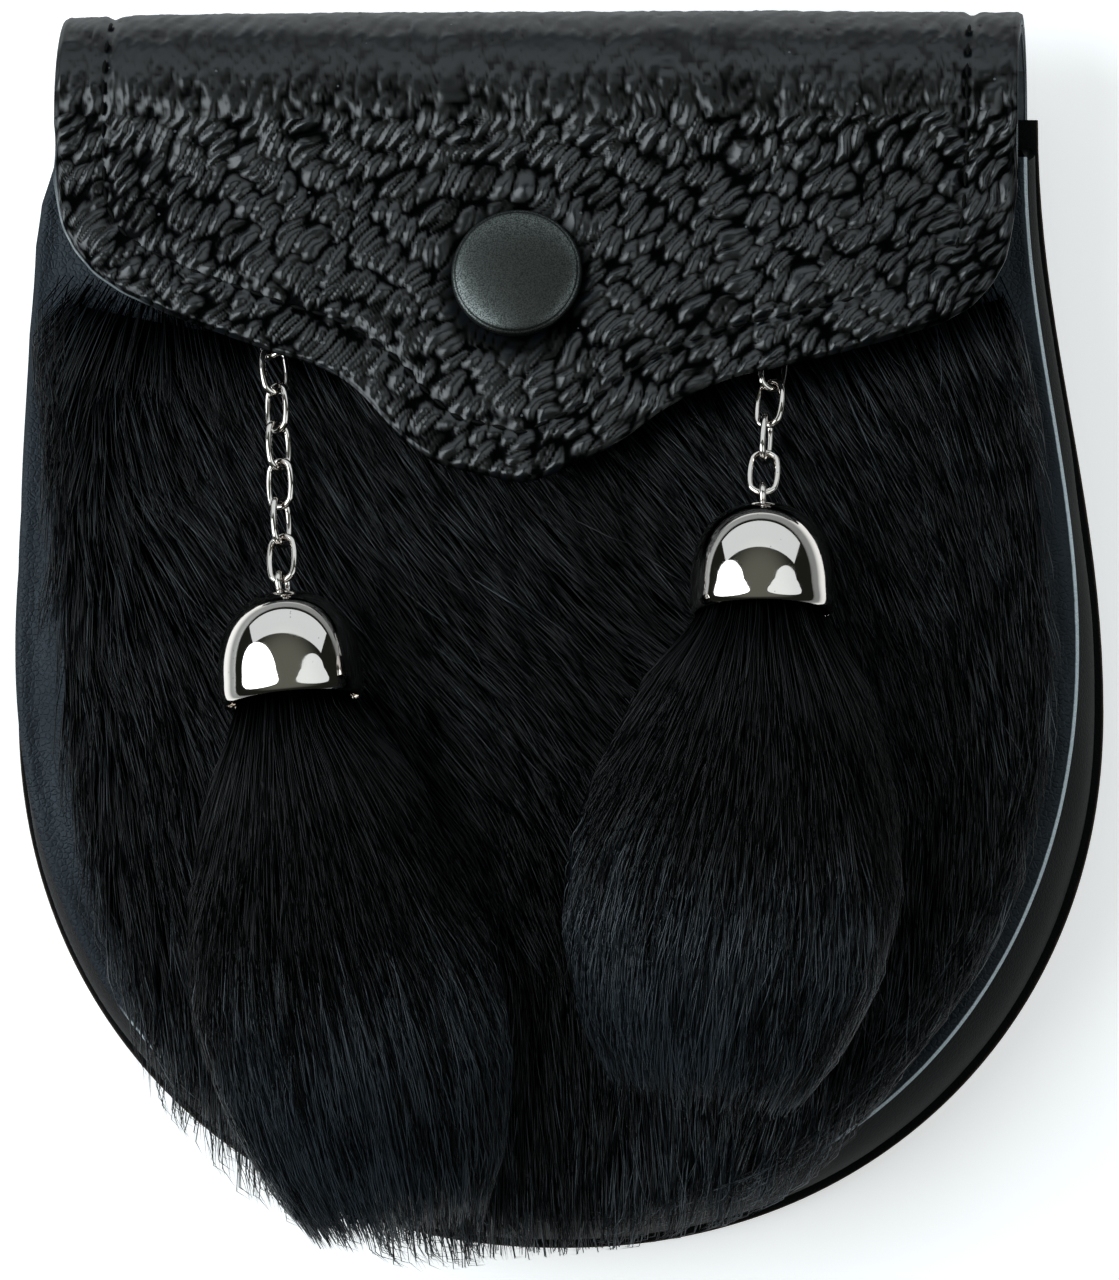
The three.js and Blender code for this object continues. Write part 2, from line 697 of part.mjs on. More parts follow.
for (const [side, strand] of Object.entries(strands)) {
  const route = new THREE.CatmullRomCurve3(strand.route.map(([y, x, lift]) => above(x, y, lift)));
  const length = route.getLength();
  const joints = strand.rolls.concat(0).map((_, i) => route.getPointAt((i * linkPitch) / length));
  const overlap = (wire + linkPlay) / 2;
  const first = joints[0].clone().sub(joints[1]).normalize();
  const staple = add(`chain_staple_${side}`, makeStaple(strand.route[0][2] + overlap * first.z), chrome);
  staple.position.copy(joints[0]).addScaledVector(first, overlap);
  strand.rolls.forEach((roll, i) => {
    const up = joints[i].clone().sub(joints[i + 1]).normalize();
    const middle = joints[i].clone().add(joints[i + 1]).multiplyScalar(0.5);
    stand(add(`chain_link_${side}_${i + 1}`, makeLink(), chrome), middle, up, THREE.MathUtils.degToRad(roll));
  });
  const lean = THREE.MathUtils.degToRad(strand.lean);
  const top = joints[joints.length - 1];
  const mouth = above(top.x + bellHeight * Math.sin(lean), top.y - bellHeight * Math.cos(lean), strand.lift);
  const up = top.clone().sub(mouth).normalize();
  const apex = top.clone().addScaledVector(up, overlap - eyeRadius - eyeRise);
  const eyeRoll = THREE.MathUtils.degToRad(strand.rolls[strand.rolls.length - 1] + 90);
  stand(add(`bell_${side}`, makeBell(eyeRoll), chrome), apex, up, 0);
  const spine = new THREE.CatmullRomCurve3([
    apex.clone().addScaledVector(up, -bellHeight + 6),
    apex.clone().addScaledVector(up, -bellHeight - 1),
    ...strand.tassel.map(([y, x, lift]) => above(x, y, lift)),
  ]);
  add(`tassel_${side}`, makeTassel(spine, strand.tasselHalfWidth), material(colours.fur, 0.8));
}

pouch.position.y = -loopRise;

export default pouch;
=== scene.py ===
"""The looks of a small day sporran: grained flap, fur front, chromed bells and fur tassels.

Lengths below are millimetres in the pouch's own frame (x across, y up the pouch from its middle,
z out of its front). to_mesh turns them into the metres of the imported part.
"""
import math

import bpy
import numpy as np
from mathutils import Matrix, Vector


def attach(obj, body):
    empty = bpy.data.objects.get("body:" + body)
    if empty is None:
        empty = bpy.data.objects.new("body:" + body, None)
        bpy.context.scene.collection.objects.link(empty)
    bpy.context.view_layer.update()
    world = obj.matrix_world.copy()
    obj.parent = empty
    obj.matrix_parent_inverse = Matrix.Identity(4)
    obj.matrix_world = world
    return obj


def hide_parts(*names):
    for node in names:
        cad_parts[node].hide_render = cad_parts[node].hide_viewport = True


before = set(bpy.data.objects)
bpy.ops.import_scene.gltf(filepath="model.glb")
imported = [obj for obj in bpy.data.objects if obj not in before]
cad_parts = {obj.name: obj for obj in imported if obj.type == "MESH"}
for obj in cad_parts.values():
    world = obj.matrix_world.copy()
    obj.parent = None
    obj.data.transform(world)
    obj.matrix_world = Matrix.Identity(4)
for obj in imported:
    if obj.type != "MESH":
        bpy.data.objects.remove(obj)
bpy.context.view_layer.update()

METRE = 0.001
LOOP_RISE = 6.0
SEED = 7

# Leather thicknesses and clearances
GAP = 0.3
BACK_THICK = 2.0
FRONT_THICK = 1.8
GUSSET_THICK = 1.4
FLAP_THICK = 2.0
LINING_THICK = 0.8
LOOP_THICK = 1.8
BELT_GAP = 4.8
BACK_REAR = LOOP_THICK + BELT_GAP
BACK_FACE = BACK_REAR + BACK_THICK

# Outlines of the two panels: height of the top, half-width there, widest half-width and its height,
# drop of the bottom, and the roundness of the bowl
BACK = dict(top=72.0, top_half=68.4, widest=77.7, widest_y=-12.0, bottom=88.5, round=2.1)
FRONT = dict(top=66.0, top_half=67.6, widest=75.1, widest_y=-3.0, bottom=83.6, round=2.12)
SIDE_SHARE = 0.34

# Dome of the front panel and depth of the gusset
DOME = 5.5
DOME_AT_MOUTH = 0.4
DOME_FLAT_MARGIN = 0.96
DOME_FULLNESS = 2.4
DOME_EASE_LOW = 8.0
DEPTH_EASE_LOW = 5.0
GUSSET_DEPTH = 18.0
MOUTH_DEPTH = 13.5
GUSSET_TOP = 68.0
GUSSET_INSET = 1.2
GUSSET_BULGE = 1.2
GUSSET_FLANGE = 5.0

# Flap
FLAP_WIDTH = 135.8
FLAP_SHIFT = -1.2
FOLD_TOP = 87.0
TAIL_BOTTOM = 52.0
FLAP_DROP = 67.2
CLEARANCE_TOP = 3.6
CLEARANCE_LOW = 7.5
SETTLE_LOW = 42.0
SETTLE_HIGH = 76.0
FREE_RUN = 10.0
STITCH_INSET = 7.0
STITCH_PITCH = 3.1
FLAP_STITCH = (1.05, 0.29)
LOOP_STITCH = (1.3, 0.3)

# Press snap
SNAP = (-2.8, 48.4)
SNAP_RADIUS = 9.2

# Chain and bells
WIRE = 0.95
LINK_LENGTH = 7.7
LINK_WIDTH = 4.8
LINK_PLAY = 0.22
LINK_PITCH = LINK_LENGTH - 2 * WIRE - LINK_PLAY
BELL_RADIUS = 10.3
BELL_SHOULDER = 9.8
BELL_HEIGHT = 15.6
BELL_WALL = 0.8
BELL_ROUNDNESS = 2.4
BELL_SKIRT = 2.9
EYE_RADIUS = 1.6
EYE_RISE = 1.2

# Fur
FUR_GAP = 0.5
FUR_TOP_SIDE = 47.0
FUR_TOP_SAG = 10.0
FUR_MARGIN = 5.0
FUR_MARGIN_LEFT = 7.5
FUR_HAIRS = 10900
TASSEL_HAIRS = 9000
LOCK_TURN = 0.26
HAIR_SPOTS = np.array([0.0, 0.34, 0.68, 1.0])
HAIR_PILE = np.array([0.0, 2.2, 3.3, 3.2])
WILD_SHARE = 0.03


# Numbers shared by the shapes

def smoothstep(low, high, value):
    """0 below low, 1 above high, eased by 3t squared minus 2t cubed between."""
    share = np.clip((np.asarray(value, float) - low) / (high - low), 0, 1)
    return share * share * (3 - 2 * share)


def mix(a, b, share):
    """The value a given share of the way from a to b."""
    return a + (b - a) * share


def hashed(i, j, salt):
    """A repeatable number from 0 to 1 for each pair of whole numbers."""
    wave = np.sin(i * 127.1 + j * 311.7 + salt * 74.7) * 43758.5453
    return wave - np.floor(wave)


def soft_noise(x, y, salt=0):
    """Value noise: random numbers at whole places, blended by an eased weight between them."""
    i, j = np.floor(x), np.floor(y)
    u, v = smoothstep(0, 1, x - i), smoothstep(0, 1, y - j)
    low = mix(hashed(i, j, salt), hashed(i + 1, j, salt), u)
    high = mix(hashed(i, j + 1, salt), hashed(i + 1, j + 1, salt), u)
    return mix(low, high, v) * 2 - 1


def cells(x, y, salt=0):
    """Distances to the nearest and second nearest of one random point in each whole square."""
    first = np.full(x.shape, 9.0)
    second = np.full(x.shape, 9.0)
    i, j = np.floor(x), np.floor(y)
    for di in (-1, 0, 1):
        for dj in (-1, 0, 1):
            cx = i + di + 0.5 + 0.8 * (hashed(i + di, j + dj, salt) - 0.5)
            cy = j + dj + 0.5 + 0.8 * (hashed(i + di, j + dj, salt + 5) - 0.5)
            away = np.hypot(x - cx, y - cy)
            second = np.minimum(second, np.maximum(first, away))
            first = np.minimum(first, away)
    return first, second


# The pouch's own forms

def half_width(panel, y):
    """Half-width at a height: a cosine ease from the widest line up to the top, and below it a
    bowl where the shares across and down, each to the power of roundness, add up to one."""
    y = np.asarray(y, float)
    rise = np.clip((y - panel["widest_y"]) / (panel["top"] - panel["widest_y"]), 0, 1)
    upper = mix(panel["widest"], panel["top_half"], (1 - np.cos(np.pi * rise)) / 2)
    fall = np.clip((panel["widest_y"] - y) / (panel["widest_y"] + panel["bottom"]), 0, 1)
    lower = panel["widest"] * (1 - fall ** panel["round"]) ** (1 / panel["round"])
    return np.where(y >= panel["widest_y"], upper, lower)


def outline_place(panel, turn, spread=1.0, top=None):
    """Place on the outline. turn runs from -1 at the upper left, by 0 at the bottom, to 1 at the
    upper right: straight sides first, then a bowl by an angle. spread draws it to the middle."""
    top = panel["top"] if top is None else top
    turn, spread = np.broadcast_arrays(np.asarray(turn, float), np.asarray(spread, float))
    away = np.abs(turn)
    climb = np.clip((away - 1 + SIDE_SHARE) / SIDE_SHARE, 0, 1)
    side_y = mix(panel["widest_y"], top, climb)
    angle = np.clip(away / (1 - SIDE_SHARE), 0, 1) * np.pi / 2
    power = 2 / panel["round"]
    bowl_x = panel["widest"] * np.sin(angle) ** power
    bowl_y = (panel["widest_y"] + panel["bottom"]) * np.clip(np.cos(angle), 0, 1) ** power
    on_side = away > 1 - SIDE_SHARE
    x = np.sign(turn) * spread * np.where(on_side, half_width(panel, side_y), bowl_x)
    y = np.where(on_side, side_y, panel["widest_y"] - spread * bowl_y)
    return x, y


def panel_share(panel, x, y):
    """How far out a place lies on a panel: 0 on its middle line, 1 on its outline."""
    upper = np.abs(x) / half_width(panel, np.clip(y, panel["widest_y"], panel["top"]))
    down = np.clip((panel["widest_y"] - y) / (panel["widest_y"] + panel["bottom"]), 0, None)
    lower = ((np.abs(x) / panel["widest"]) ** panel["round"] + down ** panel["round"])
    return np.where(y >= panel["widest_y"], upper, lower ** (1 / panel["round"]))


def depth_at(y):
    """Depth of the gusset at a height: shallower by an eased share towards the mouth."""
    return mix(GUSSET_DEPTH, MOUTH_DEPTH, smoothstep(DEPTH_EASE_LOW, FRONT["top"], y))


def front_face(x, y):
    """Height of the front panel's outer face: panel, gusset depth, and a dome that is a quarter
    cosine of the share out, low at the mouth."""
    share = np.minimum(panel_share(FRONT, x, y) / DOME_FLAT_MARGIN, 1)
    dome = np.cos(np.pi / 2 * share ** DOME_FULLNESS)
    low = mix(1, DOME_AT_MOUTH, smoothstep(DOME_EASE_LOW, FRONT["top"], y))
    return BACK_FACE + 2 * GAP + depth_at(y) + FRONT_THICK + DOME * low * dome


# height up the pouch, how far its left edge stands out past the even outline
SHOULDER = np.array([
    [8, 0], [16.4, 0.6], [29, 2.2], [41.6, 3.8], [54, 4.6], [60, 4.2], [66, 2.4], [70, 0.6], [73, 0],
])


def left_shoulder(points):
    """Points moved left by the chart: in full at the left edge, and not at all past the middle."""
    points = np.array(points, float)
    out = np.interp(points[..., 1], SHOULDER[:, 0], SHOULDER[:, 1])
    points[..., 0] -= out * smoothstep(-36, -66, points[..., 0])
    return points


# Making meshes

def to_mesh(name, points, faces, material, replaces=(), values=None, uv=None, smooth=True):
    """A piece from an array of points and faces, in place in its mesh, riding on the one body.
    values are named numbers for each point, uv the map's place of each point."""
    points = np.asarray(points, float).reshape(-1, 3) + (0, -LOOP_RISE, 0)
    mesh = bpy.data.meshes.new(name)
    if isinstance(faces, np.ndarray):
        sides = faces.shape[1]
        mesh.vertices.add(len(points))
        mesh.vertices.foreach_set("co", (points * METRE).astype(np.float32).ravel())
        mesh.loops.add(faces.size)
        mesh.loops.foreach_set("vertex_index", faces.astype(np.int32).ravel())
        mesh.polygons.add(len(faces))
        mesh.polygons.foreach_set("loop_start", np.arange(0, faces.size, sides, dtype=np.int32))
        mesh.update(calc_edges=True)
    else:
        mesh.from_pydata((points * METRE).tolist(), [], faces)
        mesh.update()
    for key, numbers in (values or {}).items():
        layer = mesh.attributes.new(key, "FLOAT", "POINT")
        layer.data.foreach_set("value", np.asarray(numbers, np.float32).ravel())
    if uv is not None:
        corner = np.empty(len(mesh.loops), np.int32)
        mesh.loops.foreach_get("vertex_index", corner)
        layer = mesh.uv_layers.new(name="UVMap")
        layer.data.foreach_set("uv", np.asarray(uv, np.float32).reshape(-1, 2)[corner].ravel())
    if smooth:
        mesh.polygons.foreach_set("use_smooth", np.ones(len(mesh.polygons), bool))
    mesh.materials.append(material)
    piece = bpy.data.objects.new(name, mesh)
    bpy.context.scene.collection.objects.link(piece)
    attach(piece, "root")
    if replaces:
        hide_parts(*replaces)
    return piece


def unit(vectors):
    """Vectors divided by their lengths."""
    return vectors / np.maximum(np.linalg.norm(vectors, axis=-1, keepdims=True), 1e-9)


def to_the_ends(count):
    """Places from -1 to 1 by the sine of an even angle, so that they lie closer at both ends."""
    return np.sin(np.linspace(-np.pi / 2, np.pi / 2, count))


def read_line(spots, run, line):
    """Places on a line of points at the given spots, where run is each point's own distance."""
    return np.stack([np.interp(spots, run, line[:, k]) for k in range(line.shape[1])], -1)


def strip(first, second):
    """Quads between two rows of point numbers."""
    return np.stack([first[:-1], second[:-1], second[1:], first[1:]], 1)


def grid_faces(index):
    """Quads of a grid of point numbers."""
    return np.concatenate([strip(a, b) for a, b in zip(index[:-1], index[1:])])


def closed(index):
    """A grid of point numbers with its first column again at the end."""
    return np.concatenate([index, index[:, :1]], 1)


def capped(index):
    """Faces of a tube whose rings are the rows of point numbers, with a lid at each end."""
    around = grid_faces(closed(index)[:, ::-1]).tolist()
    return around + [index[0].tolist(), index[-1][::-1].tolist()]


def shell(outer, inner, keep):
    """Points and faces of a sheet with thickness. Both are grids of the same size. The inner side
    keeps only some rows, and its first and last columns, so that it closes on the outer side."""
    rows, columns = outer.shape[:2]
    front = np.arange(rows * columns).reshape(rows, columns)
    used = np.zeros((rows, columns), bool)
    used[keep] = True
    used[:, [0, -1]] = True
    back = np.full((rows, columns), -1)
    back[used] = rows * columns + np.arange(used.sum())
    points = np.concatenate([outer.reshape(-1, 3), inner[used]])
    quads = [
        grid_faces(front),
        strip(front[0, ::-1], back[0, ::-1]),
        strip(front[-1], back[-1]),
        strip(front[:, 0], back[:, 0]),
        strip(front[::-1, -1], back[::-1, -1]),
    ]
    faces = np.concatenate(quads).tolist()
    for a, b in zip(keep[:-1], keep[1:]):
        faces += strip(back[b, 1:-1], back[a, 1:-1]).tolist()
        faces.append(list(back[a:b + 1, 0]) + [back[b, 1], back[a, 1]])
        faces.append([back[a, -2], back[b, -2]] + list(back[a:b + 1, -1][::-1]))
    return points, [[int(i) for i in face] for face in faces], used


def spun(profile, steps):
    """Points and faces of a profile of (radius, height) rows turned round the second axis. A row of
    radius 0 is one point at the pole."""
    turn = np.linspace(0, 2 * np.pi, steps, endpoint=False)
    points, rings = [], []
    for radius, height in profile:
        count = 1 if radius == 0 else steps
        rings.append(np.arange(count) + len(points))
        angle = turn[:count]
        ring = [radius * np.cos(angle), np.full(count, height), radius * np.sin(angle)]
        points += np.stack(ring, 1).tolist()
    faces = []
    for a, b in zip(rings[:-1], rings[1:]):
        for i in range(steps):
            j = (i + 1) % steps
            ring = [a[i % len(a)], a[j % len(a)], b[j % len(b)], b[i % len(b)]]
            faces.append([int(n) for k, n in enumerate(ring) if n not in ring[:k]])
    return np.array(points), faces


def tube(path, across, outward, looped, sides=10, radius=WIRE / 2):
    """Quads of a round tube along a path. across and outward are the two unit directions of its
    section at each point of the path."""
    angle = np.linspace(0, 2 * np.pi, sides, endpoint=False)
    ring = np.cos(angle)[None, :, None] * across[:, None] + np.sin(angle)[None, :, None] * outward[:, None]
    points = path[:, None] + radius * ring
    index = closed(np.arange(len(path) * sides).reshape(len(path), sides))
    if looped:
        index = np.concatenate([index, index[:1]])
    return points.reshape(-1, 3), grid_faces(index)


# Flap

# share across the half-width, drop below the fold on the left side and on the right, as shares
FLAP_EDGE = np.array([
    [0, 1, 1],
    [0.06, 0.985, 0.975],
    [0.19, 0.955, 0.915],
    [0.27, 0.89, 0.85],
    [0.35, 0.8, 0.805],
    [0.43, 0.75, 0.775],
    [0.52, 0.725, 0.755],
    [0.63, 0.685, 0.73],
    [0.74, 0.645, 0.7],
    [0.85, 0.595, 0.665],
    [0.91, 0.555, 0.63],
    [0.95, 0.51, 0.585],
    [0.98, 0.455, 0.53],
    [0.995, 0.39, 0.44],
    [1, 0.29, 0.3],
])


def flap_drop(across):
    """Drop of the flap's shaped edge at a signed share across, read along the table and softened
    by a short running mean."""
    offsets = np.linspace(-0.035, 0.035, 7) * (1 - np.abs(across))[..., None] ** 0.5
    spots = across[..., None] + offsets
    left = np.interp(np.abs(spots), FLAP_EDGE[:, 0], FLAP_EDGE[:, 1])
    right = np.interp(np.abs(spots), FLAP_EDGE[:, 0], FLAP_EDGE[:, 2])
    return FLAP_DROP * np.where(spots < 0, left, right).mean(-1)


def flap_inner_height(x, y):
    """Height of the lining's inner face: the front panel's face and a clearance that grows by an
    eased share down the pouch, where the fur lies under the flap."""
    clearance = mix(CLEARANCE_LOW, CLEARANCE_TOP, smoothstep(SETTLE_LOW, SETTLE_HIGH, y))
    return front_face(x, np.minimum(y, FRONT["top"])) + clearance


def flap_fold(x):
    """The fold over a place across: height of the tail's outer face and of the front run's outer
    face at the fold, the radius half way between them, and the fold's middle up the pouch."""
    layer = FLAP_THICK + LINING_THICK + GAP
    tail = BACK_REAR - GAP - layer
    shoulder = flap_inner_height(x, FRONT["top"] - 1) + layer
    radius = (shoulder - tail) / 2
    return tail, shoulder, radius, FOLD_TOP - radius


def front_run_height(x, y, shoulder, fold_y):
    """Height of the flap's outer face on its front run: over the lining, eased to the fold."""
    free = smoothstep(fold_y - FREE_RUN, fold_y, y)
    return mix(flap_inner_height(x, y) + FLAP_THICK + LINING_THICK + GAP, shoulder, free)


def flap_place(across, run, lift, width=FLAP_WIDTH, trim=0.0):
    """Place on the flap. run 0 to 1 climbs the back, 1 to 2 turns round the fold by half a circle,
    2 to 3 comes down the front to the shaped edge. lift is the depth below the outer face."""
    across, run = np.broadcast_arrays(across, run)
    x = FLAP_SHIFT + across * width / 2
    tail, shoulder, radius, fold_y = flap_fold(x)
    angle = np.clip(run - 1, 0, 1) * np.pi
    reach = radius - lift
    bottom = FOLD_TOP - flap_drop(across) + trim
    down_y = mix(fold_y, bottom, np.clip(run - 2, 0, 1))
    down_z = front_run_height(x, down_y, shoulder, fold_y) - lift
    fold_or_front = [fold_y + reach * np.sin(angle), tail + radius - reach * np.cos(angle)]
    y = np.where(run <= 1, mix(TAIL_BOTTOM, fold_y, run), np.where(run <= 2, fold_or_front[0], down_y))
    z = np.where(run <= 1, tail + lift, np.where(run <= 2, fold_or_front[1], down_z))
    return np.stack([x, y, z], -1)


def grid_normals(points):
    """Unit normals of a grid of points, from the cross product of its two directions."""
    down = np.gradient(points, axis=0)
    over = np.gradient(points, axis=1)
    return unit(np.cross(down, over))


def run_length(points):
    """Distance run down each column of a grid, from its first row."""
    step = np.linalg.norm(np.diff(points, axis=0), axis=-1)
    return np.concatenate([np.zeros((1, points.shape[1])), np.cumsum(step, 0)])


# Width of a pebble of the grain, the angle its length leans to, its length as a share of its
# width, and the height from its crease to its top
PEBBLE = 1.65
PEBBLE_LEAN = math.radians(54)
PEBBLE_STRETCH = 3.1
PEBBLE_HEIGHT = 0.88


def pebbles(x, s):
    """Pebble grain: cells on axes leaned to the upper right and stretched along them. Each pebble is
    a ridge that falls nearly evenly into the crease half way to its neighbour, deeper in some than
    in others, with pits where several meet. Smaller cells of the same kind cut the ridges up."""
    warp_x = x + 1.1 * soft_noise(x / 5, s / 5, 1) + 0.22 * soft_noise(x / 1.7, s / 1.7, 5)
    warp_s = s + 1.1 * soft_noise(x / 5, s / 5, 2) + 0.22 * soft_noise(x / 1.7, s / 1.7, 6)
    along = warp_x * math.cos(PEBBLE_LEAN) + warp_s * math.sin(PEBBLE_LEAN)
    over = -warp_x * math.sin(PEBBLE_LEAN) + warp_s * math.cos(PEBBLE_LEAN)
    first, second = cells(along / (PEBBLE * PEBBLE_STRETCH), over / PEBBLE, 3)
    valley = (1 - np.clip((second - first) / 0.95, 0, 1)) ** 1.2
    deep = 0.8 + 0.2 * soft_noise(x / 3.5, s / 3.5, 4)
    top = 1 - 0.35 * np.clip(first / 0.7, 0, 1) ** 2
    pit = smoothstep(0.5, 0.85, first)
    near, far = cells(along / 2.4, over / 1.1, 8)
    cut = (1 - np.clip((far - near) / 0.6, 0, 1)) ** 1.5
    return np.clip(top * (1 - valley * deep) - 0.25 * pit - 0.14 * cut, 0, 1)


def small_pits(x, s):
    """Rows of small pits on the smooth part, on the same axes as the pebbles: 1 in the middle of a
    pit, falling off by the square of the distance."""
    along = x * math.cos(PEBBLE_LEAN) + s * math.sin(PEBBLE_LEAN)
    over = -x * math.sin(PEBBLE_LEAN) + s * math.cos(PEBBLE_LEAN)
    first, _ = cells(along / 2.6, over / 3.4, 6)
    return np.exp(-(first / 0.13) ** 2)


def flap_outline(inset=0.0):
    """Front outline of the flap from the left of the fold round to the right, as places (x, y). An
    inset line is each place moved square to the outline, less those that come nearer than that."""
    across = to_the_ends(700)
    x = FLAP_SHIFT + across * FLAP_WIDTH / 2
    y = FOLD_TOP - flap_drop(across)
    side = np.linspace(FOLD_TOP, y[0], 60, endpoint=False)
    left = np.stack([np.full(60, x[0]), side], 1)
    right = np.stack([np.full(60, x[-1]), side[::-1]], 1)
    line = np.concatenate([left, np.stack([x, y], 1), right])
    if inset == 0:
        return line
    along = unit(np.gradient(line, axis=0))
    moved = line + inset * np.stack([-along[:, 1], along[:, 0]], 1)
    return moved[nearest(moved, line) > inset * 0.985]


def nearest(places, line):
    """Distance from each place (x, y) to the nearest point of a line of points."""
    flat = places.reshape(-1, 2)
    away = np.concatenate([
        np.sqrt(((part[:, None] - line[None]) ** 2).sum(-1)).min(1)
        for part in np.array_split(flat, max(len(flat) // 4000, 1))
    ])
    return away.reshape(places.shape[:-1])


def flap_outer_height(x, y):
    """Height of the flap's outer face over a place: the front run's height, or the fold's circle."""
    tail, shoulder, radius, fold_y = flap_fold(x)
    front = front_run_height(x, y, shoulder, fold_y)
    fold = tail + radius + np.sqrt(np.clip(radius ** 2 - np.clip(y - fold_y, 0, None) ** 2, 0, None))
    return np.where(y > fold_y, fold, front)


def make_flap(material):
    """The outer sheet: a grid over flap_place, moved along its normals by the grain's height, a slow
    sag of noise, less the stitch groove, the dent round the snap and the rounding of the cut edge."""
    columns, rows_tail, rows_fold, rows_front = 390, 8, 46, 150
    across = np.linspace(-1, 1, columns)
    across = mix(across, np.sin(across * np.pi / 2), 0.35)
    run = np.concatenate([
        np.linspace(0, 1, rows_tail, endpoint=False),
        np.linspace(1, 2, rows_fold, endpoint=False),
        np.linspace(2, 3, rows_front),
    ])
    outer = flap_place(across[None, :], run[:, None], 0.0)
    inner = flap_place(across[None, :], run[:, None], FLAP_THICK)
    normal = grid_normals(outer)
    normal *= np.sign(normal[-1, columns // 2, 2])
    length = run_length(outer)
    x = outer[..., 0]
    on_front = np.broadcast_to(run[:, None] > 1.45, x.shape)
    from_side = FLAP_WIDTH / 2 - np.abs(x - FLAP_SHIFT)
    edge = np.where(on_front, nearest(outer[..., :2], flap_outline()), from_side)
    seam = np.where(on_front, nearest(outer[..., :2], flap_outline(STITCH_INSET)), 9)
    bold = mix(0.2, 1, smoothstep(42, 74, length))
    grain = pebbles(x, -length)
    dots = small_pits(x, -length) * (1 - smoothstep(0.3, 0.7, bold))
    groove = np.exp(-(seam / 0.9) ** 2)
    away = np.hypot(x - SNAP[0], outer[..., 1] - SNAP[1])
    pressed = (1 - smoothstep(SNAP_RADIUS - 1, SNAP_RADIUS + 4, away)) * on_front
    sag = 0.5 * soft_noise(x / 26, length / 22, 9)
    full_share = smoothstep(0, 1.4, edge)
    bare = (1 - smoothstep(0.1, 0.5, edge)) * smoothstep(-48, -62, x) * smoothstep(74, 66, outer[..., 1])
    height = PEBBLE_HEIGHT * bold * (grain - 0.55) * (1 - 0.6 * groove) * (1 - pressed)
    height = (height + sag - 0.14 * dots - 0.55 * groove - 0.5 * pressed) * full_share
    height -= 0.55 * (1 - smoothstep(0, 1.1, edge)) ** 2
    outer = outer + normal * height[..., None]
    keep = np.unique(np.concatenate([np.arange(0, len(run), 14), [len(run) - 1]]))
    points, faces, used = shell(outer, inner, keep)
    extra = used.sum()
    # Height of the grain, lower in the small pits; the material paints the low parts darker, as painted
    # shade.
    level = grain * bold + 0.72 * (1 - bold) - 0.25 * dots
    uv = np.stack([x, -length], -1)
    uv = np.concatenate([uv.reshape(-1, 2), uv[used]]) * METRE
    values = {
        "grain_depth": np.concatenate([(bold * (1 - pressed)).ravel(), np.zeros(extra)]),
        "grain_top": np.concatenate([level.ravel(), np.ones(extra)]),
        "raw_edge": np.concatenate([bare.ravel(), np.ones(extra)]),
    }
    to_mesh("flap_leather", points, faces, material, ["flap"], values, uv)


def make_lining(material):
    """The sheet inside the flap: flap_place at the depth of the outer sheet, trimmed at its edge."""
    columns, rows = 64, 60
    across = to_the_ends(columns)
    run = np.linspace(0, 3, rows)
    lift = FLAP_THICK + 0.05
    shape = dict(width=FLAP_WIDTH - 0.3, trim=0.15)
    outer = flap_place(across[None, :], run[:, None], lift, **shape)
    inner = flap_place(across[None, :], run[:, None], lift + LINING_THICK, **shape)
    points, faces, _ = shell(outer, inner, np.arange(rows))
    to_mesh("flap_lining_sheet", points, faces, material, ["flap_lining"])


def resample(line, pitch):
    """Places every pitch along a line, and the unit direction at each."""
    step = np.linalg.norm(np.diff(line, axis=0), axis=1)
    run = np.concatenate([[0], np.cumsum(step)])
    spots = np.arange(pitch / 2, run[-1], pitch)
    along = read_line(spots + 0.5, run, line) - read_line(spots - 0.5, run, line)
    return read_line(spots, run, line), unit(along)


def stitches(name, place, along, out, size, material):
    """One small thread bar at each place: an ellipsoid, long along the seam, of rings whose radius is
    the root of one less the share along squared."""
    half, thick = size
    rings, sides = 7, 6
    share = np.linspace(-1, 1, rings)
    radius = thick * np.sqrt(np.clip(1 - share ** 2, 0.02, 1))
    angle = np.linspace(0, 2 * np.pi, sides, endpoint=False)
    side = np.cross(out, along)
    local = (share[:, None, None] * half * along[:, None, None, :]
             + radius[:, None, None] * (np.cos(angle)[:, None] * side[:, None, None, :]
                                        + np.sin(angle)[:, None] * out[:, None, None, :]))
    points = (place[:, None, None, :] + local).reshape(len(place), -1, 3)
    index = closed(np.arange(rings * sides).reshape(rings, sides))
    quads = grid_faces(index).tolist()
    caps = [index[0, :-1][::-1].tolist(), index[-1, :-1].tolist()]
    faces = []
    for k in range(len(place)):
        start = k * rings * sides
        faces += [[start + i for i in face] for face in quads + caps]
    to_mesh(name, points, faces, material)


def make_flap_stitches(material):
    """A row of stitches at even steps along the inset outline, laid to the flap's slope."""
    line = flap_outline(STITCH_INSET)
    place, along = resample(line, STITCH_PITCH)
    x, y = place.T
    z = flap_outer_height(x, y)
    slope_x = (flap_outer_height(x + 0.3, y) - flap_outer_height(x - 0.3, y)) / 0.6
    slope_y = (flap_outer_height(x, y + 0.3) - flap_outer_height(x, y - 0.3)) / 0.6
    out = unit(np.stack([-slope_x, -slope_y, np.ones_like(x)], 1))
    climb = along[:, 0] * slope_x + along[:, 1] * slope_y
    along = unit(np.stack([along[:, 0], along[:, 1], climb], 1))
    place = np.stack([x, y, z], 1) - 0.34 * out
    stitches("flap_stitching", place, along, out, FLAP_STITCH, material)


# Panels, gusset and belt loop

# about how far it is from the middle line of a panel to its rim
FRONT_SPAN = 70.0
BACK_SPAN = 72.0


